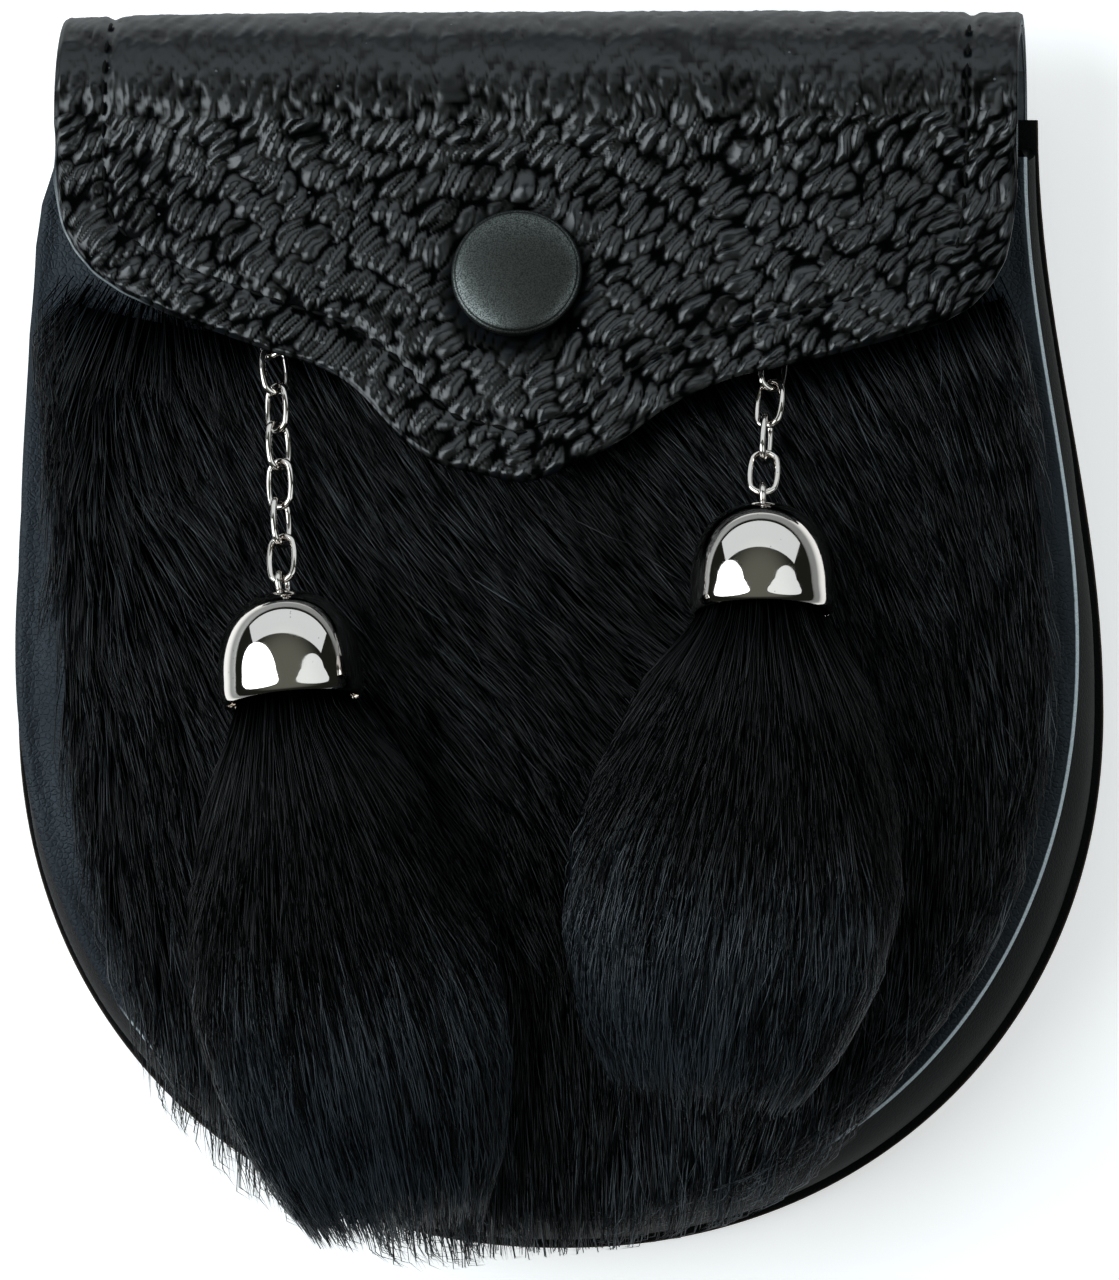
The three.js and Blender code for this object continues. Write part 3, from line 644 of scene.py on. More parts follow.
def panel_rows(panel, upper, lower, top=None):
    """Heights down a panel: even steps to its widest line, then by the sine of an even angle."""
    top = panel["top"] if top is None else top
    high = np.linspace(top, panel["widest_y"], upper, endpoint=False)
    fall = np.sin(np.linspace(0, np.pi / 2 - 0.012, lower))
    return np.concatenate([high, panel["widest_y"] - fall * (panel["widest_y"] + panel["bottom"])])


def make_front_panel(material):
    """A grid over front_face. In a band along the rim it is sunk where long cells meet, as creases,
    and rolls by slow noise; at the rim it drops by the square of the closeness."""
    y = panel_rows(FRONT, 110, 150)[:, None]
    across = to_the_ends(100)[None, :]
    x = across * half_width(FRONT, y)
    y = np.broadcast_to(y, x.shape)
    share = panel_share(FRONT, x, y)
    inside = (1 - np.minimum(share, 1)) * FRONT_SPAN
    warp = 1.2 * soft_noise(x / 5, y / 9, 21)
    first, second = cells((inside + warp) / 1.9, (y + 0.6 * x) / 4.6 + warp * 0.2, 22)
    crack = 1 - np.clip((second - first) / 0.22, 0, 1)
    band = smoothstep(0.6, 2.2, inside) * (1 - smoothstep(12, 18, inside))
    roll = 0.2 * soft_noise(x / 8, y / 14, 23)
    side = mix(0.35, 1, smoothstep(0, -40, x))
    height = (-0.16 * crack + roll) * band * side - 0.5 * (1 - smoothstep(0, 1.0, inside)) ** 2
    outer = np.stack([x, y, front_face(x, y) + height], -1)
    inner = np.stack([x, y, front_face(x, y) - FRONT_THICK], -1)
    keep = np.unique(np.concatenate([np.arange(0, len(y), 10), [len(y) - 1]]))
    points, faces, used = shell(left_shoulder(outer), left_shoulder(inner), keep)
    shown = smoothstep(34, 46, x) + 0.7 * np.exp(-(((x + 57) / 4) ** 2)) * (y < 0)
    rim = (1 - smoothstep(0.15, 0.55, inside)) * shown
    rim = np.concatenate([rim.ravel(), shown[used]])
    to_mesh("front_leather", points, faces, material, ["front_panel"], {"raw_edge": rim})


def make_back_panel(material):
    """A flat sheet inside the back's outline, rounded at its rim by the square of the closeness."""
    y = panel_rows(BACK, 20, 70)[:, None]
    across = to_the_ends(40)[None, :]
    x = across * half_width(BACK, y)
    y = np.broadcast_to(y, x.shape)
    inside = (1 - np.minimum(panel_share(BACK, x, y), 1)) * BACK_SPAN
    round_off = 0.45 * (1 - smoothstep(0, 1.0, inside)) ** 2
    front = np.stack([x, y, BACK_FACE - round_off], -1)
    rear = np.stack([x, y, BACK_REAR + round_off], -1)
    points, faces, used = shell(left_shoulder(front), left_shoulder(rear), np.arange(len(y)))
    rim = 1 - smoothstep(0.0, 0.4, inside)
    rim = np.concatenate([rim.ravel(), rim[used]])
    to_mesh("back_leather", points, faces, material, ["back_panel"], {"raw_edge": rim})


def make_gusset(material):
    """A channel: for each turn round the outlines, a wall that bulges by a sine between the back's
    outline and the front's, with a flange turned in along each panel."""
    turn = np.linspace(-1, 1, 260)
    low_x, low_y = outline_place(BACK, turn, 1.0, GUSSET_TOP)
    high_x, high_y = outline_place(FRONT, turn, 1.0, GUSSET_TOP - 3)
    along = unit(np.stack([np.gradient(low_x), np.gradient(low_y)], 1))
    inward = np.stack([-along[:, 1], along[:, 0]], 1)
    thin = GUSSET_THICK / GUSSET_DEPTH
    rise = np.concatenate([[0], np.linspace(0, 1, 13), [1, 1, 1 - thin, 1 - thin, 0.5, thin, thin, 0]])
    inset = np.concatenate([[0.8], np.zeros(13), [0.8, GUSSET_FLANGE, GUSSET_FLANGE],
                            np.full(3, GUSSET_THICK), [GUSSET_FLANGE, GUSSET_FLANGE]])
    inset[1] = inset[13] = 0.25
    rise[1], rise[13] = 0.012, 0.988
    wave = 0.35 * soft_noise(turn * 17, turn * 0 + 3, 31)[:, None] * np.sin(np.pi * rise)
    out = GUSSET_BULGE * np.sin(np.pi * rise) + wave
    shift = inset[None, :] + GUSSET_INSET - out
    x = mix(low_x[:, None], high_x[:, None], rise) + inward[:, :1] * shift
    y = mix(low_y[:, None], high_y[:, None], rise) + inward[:, 1:] * shift
    z = BACK_FACE + GAP + rise * depth_at(mix(low_y[:, None], high_y[:, None], rise))
    points = np.stack([x, y, z], -1)
    index = np.arange(x.size).reshape(x.shape)
    to_mesh("gusset_leather", left_shoulder(points), capped(index), material, ["gusset"])


LOOP_WIDTH = 60.0
LOOP_FLAT = 50.0
LOOP_TAB = 8.0


def make_belt_loop(material, thread):
    """A strip along y whose outer face drops from the tabs to the flat by an eased step. Its long
    edges are rounded by a quarter cosine."""
    rise = BACK_REAR - GAP - LOOP_THICK
    reach = LOOP_FLAT / 2 + rise + LOOP_TAB
    y = np.linspace(-reach, reach, 90)[:, None]
    across = to_the_ends(24)[None, :]
    x = across * LOOP_WIDTH / 2 + 0 * y
    y = y + 0 * x
    step = rise * smoothstep(LOOP_FLAT / 2, LOOP_FLAT / 2 + rise + 1.5, np.abs(y))
    edge = np.minimum(LOOP_WIDTH / 2 - np.abs(x), reach - np.abs(y))
    soft = 0.4 * (1 - smoothstep(0, 0.9, edge)) ** 2
    outer = np.stack([x, y + LOOP_RISE, step + soft], -1)
    inner = np.stack([x, y + LOOP_RISE, step + LOOP_THICK - soft], -1)
    points, faces, _ = shell(inner, outer, np.arange(len(y)))
    to_mesh("belt_loop_leather", points, faces, material, ["belt_loop"],
            {"raw_edge": np.zeros(len(points))})
    spots = np.arange(-LOOP_WIDTH / 2 + 4, LOOP_WIDTH / 2 - 3, 3.4)
    rows = [(LOOP_FLAT / 2 + rise + 3.2) * side + LOOP_RISE for side in (-1, 1)]
    place = np.array([[x, y, rise + 0.12] for y in rows for x in spots])
    along = np.tile([1.0, 0, 0], (len(place), 1))
    out = np.tile([0, 0, -1.0], (len(place), 1))
    stitches("belt_loop_stitching", place, along, out, LOOP_STITCH, thread)


# Metal fittings

def make_snap_cap(material):
    """A spun cap: a low dome with a turned-down rim, set square to the flap's slope."""
    r = SNAP_RADIUS
    dome = [(r - 0.55) * math.cos(a) for a in np.linspace(0, np.pi / 2, 14)]
    rise = [2.0 + 1.05 * math.sin(a) for a in np.linspace(0, np.pi / 2, 14)]
    profile = [(0, 0.05), (r - 1.6, 0.05), (r - 0.7, 0.3), (r - 0.1, 0.85), (r, 1.25), (r - 0.12, 1.7)]
    profile.append((r - 0.4, 1.95))
    profile += [(0 if i == 13 else d, h) for i, (d, h) in enumerate(zip(dome, rise))]
    points, faces = spun(profile, 96)
    x, y = SNAP
    half = 4.0
    slope = (flap_inner_height(x, y + half) - flap_inner_height(x, y - half)) / (2 * half)
    tilt = math.atan(slope)
    up = np.array([0, -math.sin(tilt), math.cos(tilt)])
    down = np.array([0, math.cos(tilt), math.sin(tilt)])
    sunk = 0.55
    lift = (FLAP_THICK + LINING_THICK + GAP) * math.cos(tilt) + GAP - sunk
    foot = np.array([x, y, flap_inner_height(x, y)]) + up * lift
    placed = foot + points[:, :1] * np.array([1, 0, 0]) + points[:, 1:2] * up - points[:, 2:] * down
    to_mesh("snap_cap_metal", placed, faces, material, ["snap_cap"])


def node_points(name):
    """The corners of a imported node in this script's millimetres."""
    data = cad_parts[name].data
    flat = np.empty(len(data.vertices) * 3, np.float32)
    data.vertices.foreach_get("co", flat)
    return flat.reshape(-1, 3).astype(float) / METRE + (0, LOOP_RISE, 0)


def link_axes(name):
    """Middle, long axis and plane normal of a packed link, from how its corners spread."""
    corners = node_points(name)
    axes = np.linalg.svd(corners - corners.mean(0), full_matrices=False)[2]
    long = axes[0] * np.sign(axes[0][1])
    return corners.mean(0), long, axes[2]


def make_links(side, count, material):
    """Each link is a tube along a half circle, a straight, a half circle and a straight, on the axes
    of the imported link."""
    for number in range(1, count + 1):
        name = f"chain_link_{side}_{number}"
        middle, long, normal = link_axes(name)
        wide = np.cross(long, normal)
        angle = np.linspace(0, 2 * np.pi, 40, endpoint=False)
        bend = (LINK_WIDTH - WIRE) / 2
        straight = (LINK_LENGTH - LINK_WIDTH) / 2
        end = np.sign(np.sin(angle)) * straight * np.minimum(np.abs(np.sin(angle)) * 2, 1)
        outward = np.cos(angle)[:, None] * wide + np.sin(angle)[:, None] * long
        path = middle + bend * outward + end[:, None] * long
        points, faces = tube(path, outward, np.tile(normal, (len(path), 1)), True, 12)
        to_mesh(f"chain_{side}_link_{number}", points, faces, material, [name])


def bell_axes(side, count):
    """Top of a bell and the direction up its axis: both lie on the line from the last link's lower
    joint through the middle of the bell's corners."""
    middle, long, normal = link_axes(f"chain_link_{side}_{count}")
    joint = middle - long * LINK_PITCH / 2
    corners = node_points(f"bell_{side}")
    up = unit(joint - corners.mean(0))
    top = joint + up * ((WIRE + LINK_PLAY) / 2 - EYE_RADIUS - EYE_RISE)
    return top, up, normal


def make_bell(side, count, material):
    """A spun cap whose shares out and down, each to the power of roundness, add up to one, a short
    skirt with a rolled rim, and its eye."""
    top, up, link_normal = bell_axes(side, count)
    arc = np.linspace(0, np.pi / 2, 22)
    crown = BELL_SHOULDER - 1.0
    power = 2 / BELL_ROUNDNESS
    full, drop = BELL_RADIUS - 0.2, BELL_HEIGHT - BELL_SKIRT
    round_arc = np.linspace(0, np.pi / 2, 34)
    outer = [(full * math.sin(a) ** power, -drop * (1 - max(math.cos(a), 0) ** power)) for a in round_arc]
    outer[0] = (0, 0)
    skirt = [(BELL_RADIUS - share, -BELL_HEIGHT + rise) for share, rise in (
        (0.2, 1.9), (0.3, 1.1), (0.5, 0.45), (0.78, 0.1), (0.95, 0))]
    inside = BELL_SHOULDER - BELL_WALL
    inner = [(inside * math.sin(a), -BELL_WALL - (crown - BELL_WALL) * (1 - math.cos(a))) for a in arc[::-1]]
    inner[-1] = (0, -BELL_WALL)
    lip = [(inside + 0.25, -BELL_HEIGHT + 0.3), (inside + 0.1, -BELL_HEIGHT + 1.4)]
    profile = outer + skirt + lip + inner
    points, faces = spun(profile, 96)
    wide = unit(np.cross(up, [0, 0, 1.0]))
    deep = np.cross(wide, up)
    placed = top + points[:, :1] * wide + points[:, 1:2] * up + points[:, 2:] * deep
    angle = np.linspace(0, 2 * np.pi, 32, endpoint=False)
    flat = unit(link_normal - up * link_normal.dot(up))
    outward = np.cos(angle)[:, None] * flat + np.sin(angle)[:, None] * up
    ring = top + up * EYE_RISE + EYE_RADIUS * outward
    across = np.tile(np.cross(flat, up), (len(ring), 1))
    eye_points, eye_faces = tube(ring, outward, across, True, 12)
    faces += (eye_faces + len(placed)).tolist()
    points = np.concatenate([placed, eye_points])
    to_mesh(f"bell_cap_{side}", points, faces, material, [f"bell_{side}"])
    return top, up


# Fur

HAIR_TAPER = np.array([0.75, 1.0, 0.75])
# places on the pouch, and how far the hair leans there from straight down, in degrees to the right
FUR_FLOW = np.array([
    [-69, 46, -72], [-60, 47, -30], [-52, 40, 25], [-66, 34, -26], [-67, 14, -12], [-68, -8, -4],
    [-56, 22, 34], [-48, 8, 42], [-58, 0, 20], [-66, -25, -2], [-54, -25, 16], [-60, -48, 10],
    [-54, -60, -8], [-44, 34, 30], [-30, 30, 30], [-20, 22, 38],
    [-12, 6, 42], [-16, -10, 36], [-3, -24, 24], [6, 16, 42], [14, 4, 52], [2, -50, 3],
    [40, 30, 30], [48, 18, 24], [60, 20, 14], [52, 2, 16], [64, -4, 4], [58, -26, -4],
    [52, -46, -14], [36, -64, -12], [20, -78, -4], [0, -76, 0], [-20, -78, 4], [-40, -72, -4],
    [30, 12, 26], [34, -40, 6], [-36, -40, 8],
])
# place across, how far out the hair may reach there as a share of the panel's outline
FUR_REACH = np.array([
    [-80, 0.955], [-70, 0.955], [-63, 0.98], [-56, 1.06], [-44, 1.095], [-30, 1.1], [-18, 1.11],
    [-8, 1.075], [4, 1.055], [20, 1.05], [30, 1.05], [40, 1.035], [47, 1.0], [54, 0.975], [80, 0.975],
])


def hair_mesh(lines, half):
    """Points and triangles of closed three-sided hairs along lines of points (hair, joint, place).
    Each joint but the last has a ring of half-width times the taper; the last is a point."""
    count = len(lines)
    along = unit(np.gradient(lines, axis=1))
    side = unit(np.cross(along, [0, 0, 1.0]))
    up = np.cross(side, along)
    angle = np.pi / 2 + np.arange(3) * 2 * np.pi / 3
    ring = np.cos(angle)[:, None] * side[:, :-1, None] + np.sin(angle)[:, None] * up[:, :-1, None]
    thick = half[:, None] * HAIR_TAPER
    body = lines[:, :-1, None] + thick[..., None, None] * ring
    points = np.concatenate([body.reshape(count, -1, 3), lines[:, -1:]], 1)
    size = points.shape[1]
    faces = [[0, 1, 2]]
    for start in range(0, size - 4, 3):
        for k in range(3):
            a, b = start + k, start + (k + 1) % 3
            faces += [[b, a, a + 3], [b, a + 3, b + 3]]
    faces += [[size - 4 + (k + 1) % 3, size - 4 + k, size - 1] for k in range(3)]
    faces = np.array(faces)[None] + (np.arange(count) * size)[:, None, None]
    return points, faces.reshape(-1, 3)


def to_hair(name, lines, half, tone_and_sheen, material, replaces=()):
    """A piece of hairs with two values at each point: its lightness with painted sheen, and its share run.
    """
    points, faces = hair_mesh(lines, half)
    joints = lines.shape[1]
    run = np.append(np.repeat(np.arange(joints - 1), 3), joints - 1) / (joints - 1)
    values = {
        "tone_and_sheen": np.repeat(tone_and_sheen, points.shape[1]),
        "run": np.tile(run, len(lines)),
    }
    to_mesh(name, points, faces, material, replaces, values)


def clumps(x, y, size, salt):
    """The nearest of one random point in each square of a size: its place and its own number."""
    u, v = x / size, y / size
    i, j = np.floor(u), np.floor(v)
    best = np.full(x.shape, 9.0)
    found = np.zeros((3,) + x.shape)
    for di in (-1, 0, 1):
        for dj in (-1, 0, 1):
            px = i + di + 0.5 + 0.9 * (hashed(i + di, j + dj, salt) - 0.5)
            py = j + dj + 0.5 + 0.9 * (hashed(i + di, j + dj, salt + 5) - 0.5)
            away = np.hypot(u - px, v - py)
            near = away < best
            best = np.where(near, away, best)
            found = np.where(near, [px, py, hashed(i + di, j + dj, salt + 9)], found)
    return found[0] * size, found[1] * size, found[2]


def fur_lean(x, y):
    """Lean of the hair at a place, from the chart by weights of one over the fourth power of the
    distance, in radians."""
    away = (x[..., None] - FUR_FLOW[:, 0]) ** 2 + (y[..., None] - FUR_FLOW[:, 1]) ** 2 + 20
    weight = away ** -2
    return np.radians((weight * FUR_FLOW[:, 2]).sum(-1) / weight.sum(-1))


def fur_top(x):
    """Height of the hide's top edge: a parabola that sags to the middle."""
    return FUR_TOP_SIDE - FUR_TOP_SAG * (1 - (x / FRONT["top_half"]) ** 2)


def make_pelt(material):
    """The hide below the hair: a grid from the fur's top edge down to its rim, low and rough."""
    turn = np.linspace(-1, 1, 90)[None, :]
    down = np.linspace(0, 1, 44)[:, None]
    edge = 1 - mix(FUR_MARGIN, FUR_MARGIN_LEFT, smoothstep(0.3, 0.6, -turn)) / FRONT["widest"]
    rim_x, rim_y = outline_place(FRONT, turn, edge, FUR_TOP_SIDE)
    top_x = turn * edge * half_width(FRONT, FUR_TOP_SIDE)
    x = mix(top_x, rim_x, down)
    y = mix(fur_top(top_x), rim_y, down)
    thin = np.minimum((1 - np.abs(turn)) * 12, 1) * np.minimum((1 - down) * 12, 1)
    rise = 0.5 + (0.7 + 0.3 * soft_noise(x / 3, y / 5, 41)) * thin
    face = front_face(x, y) + FUR_GAP
    layers = [left_shoulder(np.stack([x, y, z], -1)) for z in (face + rise, face)]
    points, faces, _ = shell(*layers, np.arange(44))
    # The hide takes the hairs' root colour, near black: painted shade deep in the pile.
    values = {"tone_and_sheen": np.zeros(len(points)), "run": np.zeros(len(points))}
    to_mesh("fur_hide", points, faces, material, ["fur_panel"], values)


def pelt_hairs(count, salt):
    """Lines of hairs on the pelt. Each runs from its root along the chart's lean, with its tip drawn
    to the tips of a wide and a narrow clump, and is held inside the reach past the outline."""
    rng = np.random.default_rng(SEED + salt)
    x = rng.uniform(-72, 72, count * 3)
    y = rng.uniform(-82, 50, count * 3)
    share = panel_share(FRONT, x, y)
    inset_left = mix(0.9, 0.945, smoothstep(-25, -55, y) + smoothstep(4, 28, y))
    inset = mix(0.945, inset_left, smoothstep(-10, -30, x))
    across = (x - FLAP_SHIFT) / (FLAP_WIDTH / 2)
    flap_low = FOLD_TOP - flap_drop(np.clip(across, -1, 1))
    high = 56 - 17 * (1 - (x / FRONT["top_half"]) ** 2)
    good = (share < inset) & (y < high) & (y < flap_low + 12)
    x, y = x[good][:count], y[good][:count]
    count = len(x)
    lean = fur_lean(x, y) + rng.normal(0, 0.1, count) + 0.22 * soft_noise(x / 9, y / 9, 51)
    length = rng.uniform(14, 22, count) * mix(1.0, 1.15, smoothstep(-40, -70, y))
    spots = HAIR_SPOTS
    px, py = x[:, None], y[:, None]
    line_x = px + length[:, None] * spots * np.sin(lean)[:, None]
    line_y = py - length[:, None] * spots * np.cos(lean)[:, None]
    tone_and_sheen = np.zeros(count)
    for size, pull, part in ((5.5, 0.5, 0.35), (1.7, 0.35, 0.4)):
        cx, cy, key = clumps(x, y, size, 60 + size)
        own = fur_lean(cx, cy) + 0.5 * (key - 0.5)
        reach = 17 + 5 * key
        draw = pull * spots ** 1.5
        line_x += draw * (cx + reach * np.sin(own) - line_x[:, -1])[:, None]
        line_y += draw * (cy - reach * np.cos(own) - line_y[:, -1])[:, None]
        tone_and_sheen += part * key
    tone_and_sheen = 0.8 * tone_and_sheen + 0.9 * rng.uniform(0, 1, count) ** 3
    # Painted sheen: lighter towards the bottom of the pelt. Darker in a band down the middle.
    tone_and_sheen *= mix(0.55, 1.15, smoothstep(-20, -70, y)) * mix(1, 0.6, smoothstep(12, 0, np.abs(x - 2)))
    wild = rng.uniform(0, 1, count) < WILD_SHARE
    line_x += np.where(wild, rng.normal(0, 3.2, count), 0)[:, None] * spots ** 2
    line_y += np.where(wild, rng.normal(0, 3.2, count), 0)[:, None] * spots ** 2
    limit = np.interp(line_x, FUR_REACH[:, 0], FUR_REACH[:, 1])
    limit -= 0.07 * rng.uniform(0, 1, count)[:, None] ** 1.6
    limit += 0.035 * smoothstep(24, 42, line_y) * smoothstep(-40, -60, line_x)
    draw = np.minimum(limit / panel_share(FRONT, line_x, line_y), 1)
    line_x *= draw
    low = line_y < FRONT["widest_y"]
    line_y = np.where(low, FRONT["widest_y"] + (line_y - FRONT["widest_y"]) * draw, line_y)
    pile = rng.uniform(0.35, 1.0, count)[:, None] * HAIR_PILE
    pile += np.where(wild, rng.uniform(0, 1.6, count), 0)[:, None] * spots
    past = np.clip(panel_share(FRONT, line_x, line_y) - 1, 0, None) * 80
    line_z = front_face(line_x, line_y) + FUR_GAP + 0.4 + pile - 0.22 * past
    lines = left_shoulder(np.stack([line_x, line_y, line_z], -1))
    half = rng.uniform(0.07, 0.125, count)
    return lines, half, tone_and_sheen


def make_fur(material):
    """The pelt's hairs, in two pieces of the same kind."""
    for number in range(2):
        lines, half, tone_and_sheen = pelt_hairs(FUR_HAIRS, number)
        to_hair(f"fur_hairs_{number + 1}", lines, half, tone_and_sheen, material)


# Tassels

# share of the length, half-width and half-thickness as shares of the tassel's own half-width
TASSEL_FORM = np.array([
    [0, 0.4, 0.4], [0.085, 0.415, 0.41], [0.12, 0.5, 0.45], [0.2, 0.66, 0.43], [0.38, 0.88, 0.4],
    [0.55, 1, 0.37], [0.72, 0.96, 0.34], [0.88, 0.78, 0.28], [1, 0.54, 0.16],
])
# height up the pouch, sideways place, lift above the front panel's face
TASSELS = {
    "left": dict(half=20.0, places=[
        [-26, -30.5, 13.4], [-44, -27.5, 12.4], [-62, -23.5, 11.4], [-85, -19.5, 7.5]]),
    "right": dict(half=21.5, places=[
        [-16, 31, 13.4], [-33, 28.5, 12.4], [-48, 26, 11.4], [-66, 23, 9.5]]),
}


def smooth_route(points, count=200):
    """A curve through points by the centripetal Catmull-Rom rule, at even steps of its length."""
    points = np.asarray(points, float)
    ends = [2 * points[0] - points[1], 2 * points[-1] - points[-2]]
    all_points = np.concatenate([ends[:1], points, ends[1:]])
    pieces = []
    for a, b, c, d in zip(all_points, all_points[1:], all_points[2:], all_points[3:]):
        t0 = 0.0
        t1 = t0 + np.linalg.norm(b - a) ** 0.5
        t2 = t1 + np.linalg.norm(c - b) ** 0.5
        t3 = t2 + np.linalg.norm(d - c) ** 0.5
        t = np.linspace(t1, t2, 60, endpoint=False)[:, None]
        ab = (t1 - t) / (t1 - t0) * a + (t - t0) / (t1 - t0) * b
        bc = (t2 - t) / (t2 - t1) * b + (t - t1) / (t2 - t1) * c
        cd = (t3 - t) / (t3 - t2) * c + (t - t2) / (t3 - t2) * d
        abc = (t2 - t) / (t2 - t0) * ab + (t - t0) / (t2 - t0) * bc
        bcd = (t3 - t) / (t3 - t1) * bc + (t - t1) / (t3 - t1) * cd
        pieces.append((t2 - t) / (t2 - t1) * abc + (t - t1) / (t2 - t1) * bcd)
    curve = np.concatenate(pieces + [points[-1:]])
    run = np.concatenate([[0], np.cumsum(np.linalg.norm(np.diff(curve, axis=0), axis=1))])
    spots = np.linspace(0, run[-1], count)
    return read_line(spots, run, curve)


def tassel_place(spine, half, share, angle, out):
    """Place in a tassel: share along its spine, angle round it, out from the spine to its skin."""
    count = len(spine)
    spot = np.clip(share, 0, 1) * (count - 1)
    middle = read_line(spot, np.arange(count), spine)
    along = read_line(spot, np.arange(count), unit(np.gradient(spine, axis=0)))
    up = unit(np.array([0, 0, 1.0]) - along * along[..., 2:])
    side = np.cross(along, up)
    length = np.linalg.norm(np.diff(spine, axis=0), axis=1).sum()
    past = np.clip(share - 1, 0, None)[..., None] * length
    wide = half * np.interp(share, TASSEL_FORM[:, 0], TASSEL_FORM[:, 1])
    thick = half * np.interp(share, TASSEL_FORM[:, 0], TASSEL_FORM[:, 2])
    across = (wide * out * np.cos(angle))[..., None] * side
    return middle + past * along + across + (1.15 * thick * out * np.sin(angle))[..., None] * up


def make_tassel(side, bell_top, bell_up, material):
    """A dark core inside the tassel's skin, and hairs on it. Each hair runs along the spine from its
    start, drawn sideways to the middle of its lock, and rises from the core to the skin."""
    form = TASSELS[side]
    places = [[x, y, front_face(x, y) + lift] for y, x, lift in form["places"]]
    inner = [bell_top + bell_up * (6 - BELL_HEIGHT), bell_top + bell_up * (-BELL_HEIGHT - 1)]
    spine = smooth_route(inner + places)
    half = form["half"]
    share = np.linspace(0, 0.9, 60)[:, None]
    angle = np.linspace(0, 2 * np.pi, 48, endpoint=False)[None, :]
    rough = 0.72 + 0.05 * soft_noise(angle * 5, share * 16, 71)
    core = tassel_place(spine, half, share + 0 * angle, angle + 0 * share, rough)
    index = np.arange(core.shape[0] * core.shape[1]).reshape(core.shape[:2])
    # The core takes the hairs' root colour, near black: painted shade deep in the hair.
    blank = np.zeros(core.shape[0] * core.shape[1])
    values = {"tone_and_sheen": blank, "run": blank}
    to_mesh(f"tassel_core_{side}", core, capped(index), material, [f"tassel_{side}"], values)
    count = TASSEL_HAIRS
    rng = np.random.default_rng(SEED + len(side))
    start = rng.uniform(0.02, 0.82, count)
    turn = rng.uniform(-0.35, np.pi + 0.35, count)
    length = rng.uniform(0.2, 0.34, count)
    spots = HAIR_SPOTS
    lock = np.floor(turn / LOCK_TURN + 0.6 * hashed(np.floor(turn / LOCK_TURN), 0 * turn, 72))
    middle = (lock + 0.5) * LOCK_TURN
    key = hashed(lock, np.floor(start * 7), 73)
    end = start + length
    late = smoothstep(0.75, 1.0, end)
    share = start[:, None] + length[:, None] * spots + (late * 0.1 * (key - 0.9))[:, None] * spots
    share = np.minimum(share, rng.uniform(0.93, 1.01, count)[:, None])
    drift = (0.2 + 0.5 * late)[:, None] * spots ** 1.5 * (middle - turn)[:, None]
    wander = rng.normal(0, 0.09, count)[:, None] * spots
    round_turn = turn[:, None] + drift + wander
    out = np.array([0.72, 0.92, 1.0, 1.02]) * rng.uniform(0.84, 1.1, count)[:, None]
    out = np.minimum(out, mix(0.93, 1.1, smoothstep(0.08, 0.14, share)))
    lines = tassel_place(spine, half, share, round_turn, out)
    # Painted sheen: lighter for hairs that start lower down the tassel, darker for those that start near the
    # bell.
    tone_and_sheen = (0.5 * key + 1.0 * rng.uniform(0, 1, count) ** 2.5) * mix(0.25, 2.0, smoothstep(0.25, 0.6, start))
    to_hair(f"tassel_hairs_{side}", lines, rng.uniform(0.085, 0.14, count), tone_and_sheen, material)


# Materials

def new_group(name, inputs, output, kind):
    """An empty node group with named inputs (label, socket kind, value) and one output."""
    group = bpy.data.node_groups.new(name, "ShaderNodeTree")
    for label, socket_kind, value in inputs:
        socket = group.interface.new_socket(label, in_out="INPUT", socket_type=socket_kind)
        if value is not None:
            socket.default_value = value
    group.interface.new_socket(output, in_out="OUTPUT", socket_type=kind)
    return group, group.nodes.new("NodeGroupInput"), group.nodes.new("NodeGroupOutput")


def add_math(tree, operation, first, second, clamp=False):
    """One sum of two numbers or sockets."""
    node = tree.nodes.new("ShaderNodeMath")
    node.operation = operation
    node.use_clamp = clamp
    for socket, value in zip(node.inputs, (first, second)):
        if isinstance(value, (int, float)):
            socket.default_value = value
        else:
            tree.links.new(value, socket)
    return node.outputs[0]


def add_noise(tree, vector, scale, detail=3.0, rough=0.55):
    """Cloudy noise from 0 to 1 over a vector."""
    node = tree.nodes.new("ShaderNodeTexNoise")
    node.inputs["Detail"].default_value = detail
    node.inputs["Roughness"].default_value = rough
    tree.links.new(vector, node.inputs["Vector"])
    if isinstance(scale, (int, float)):
        node.inputs["Scale"].default_value = scale
    else:
        tree.links.new(scale, node.inputs["Scale"])
    return node.outputs["Fac"]


def add_range(tree, value, low, high, to_low=0.0, to_high=1.0):
    """A value eased from one range to another by 3t^2 - 2t^3."""
    node = tree.nodes.new("ShaderNodeMapRange")
    node.interpolation_type = "SMOOTHSTEP"
    tree.links.new(value, node.inputs["Value"])
    ends = (("From Min", low), ("From Max", high), ("To Min", to_low), ("To Max", to_high))
    for label, number in ends:
        node.inputs[label].default_value = number
    return node.outputs["Result"]


def add_blend(tree, share, first, second):
    """Colour from first to second by a share. Each is a colour or a socket."""
    node = tree.nodes.new("ShaderNodeMix")
    node.data_type = "RGBA"
    tree.links.new(share, node.inputs["Factor"])
    for socket, value in zip((node.inputs[6], node.inputs[7]), (first, second)):
        if isinstance(value, tuple):
            socket.default_value = (*value, 1)
        else:
            tree.links.new(value, socket)
    return node.outputs[2]


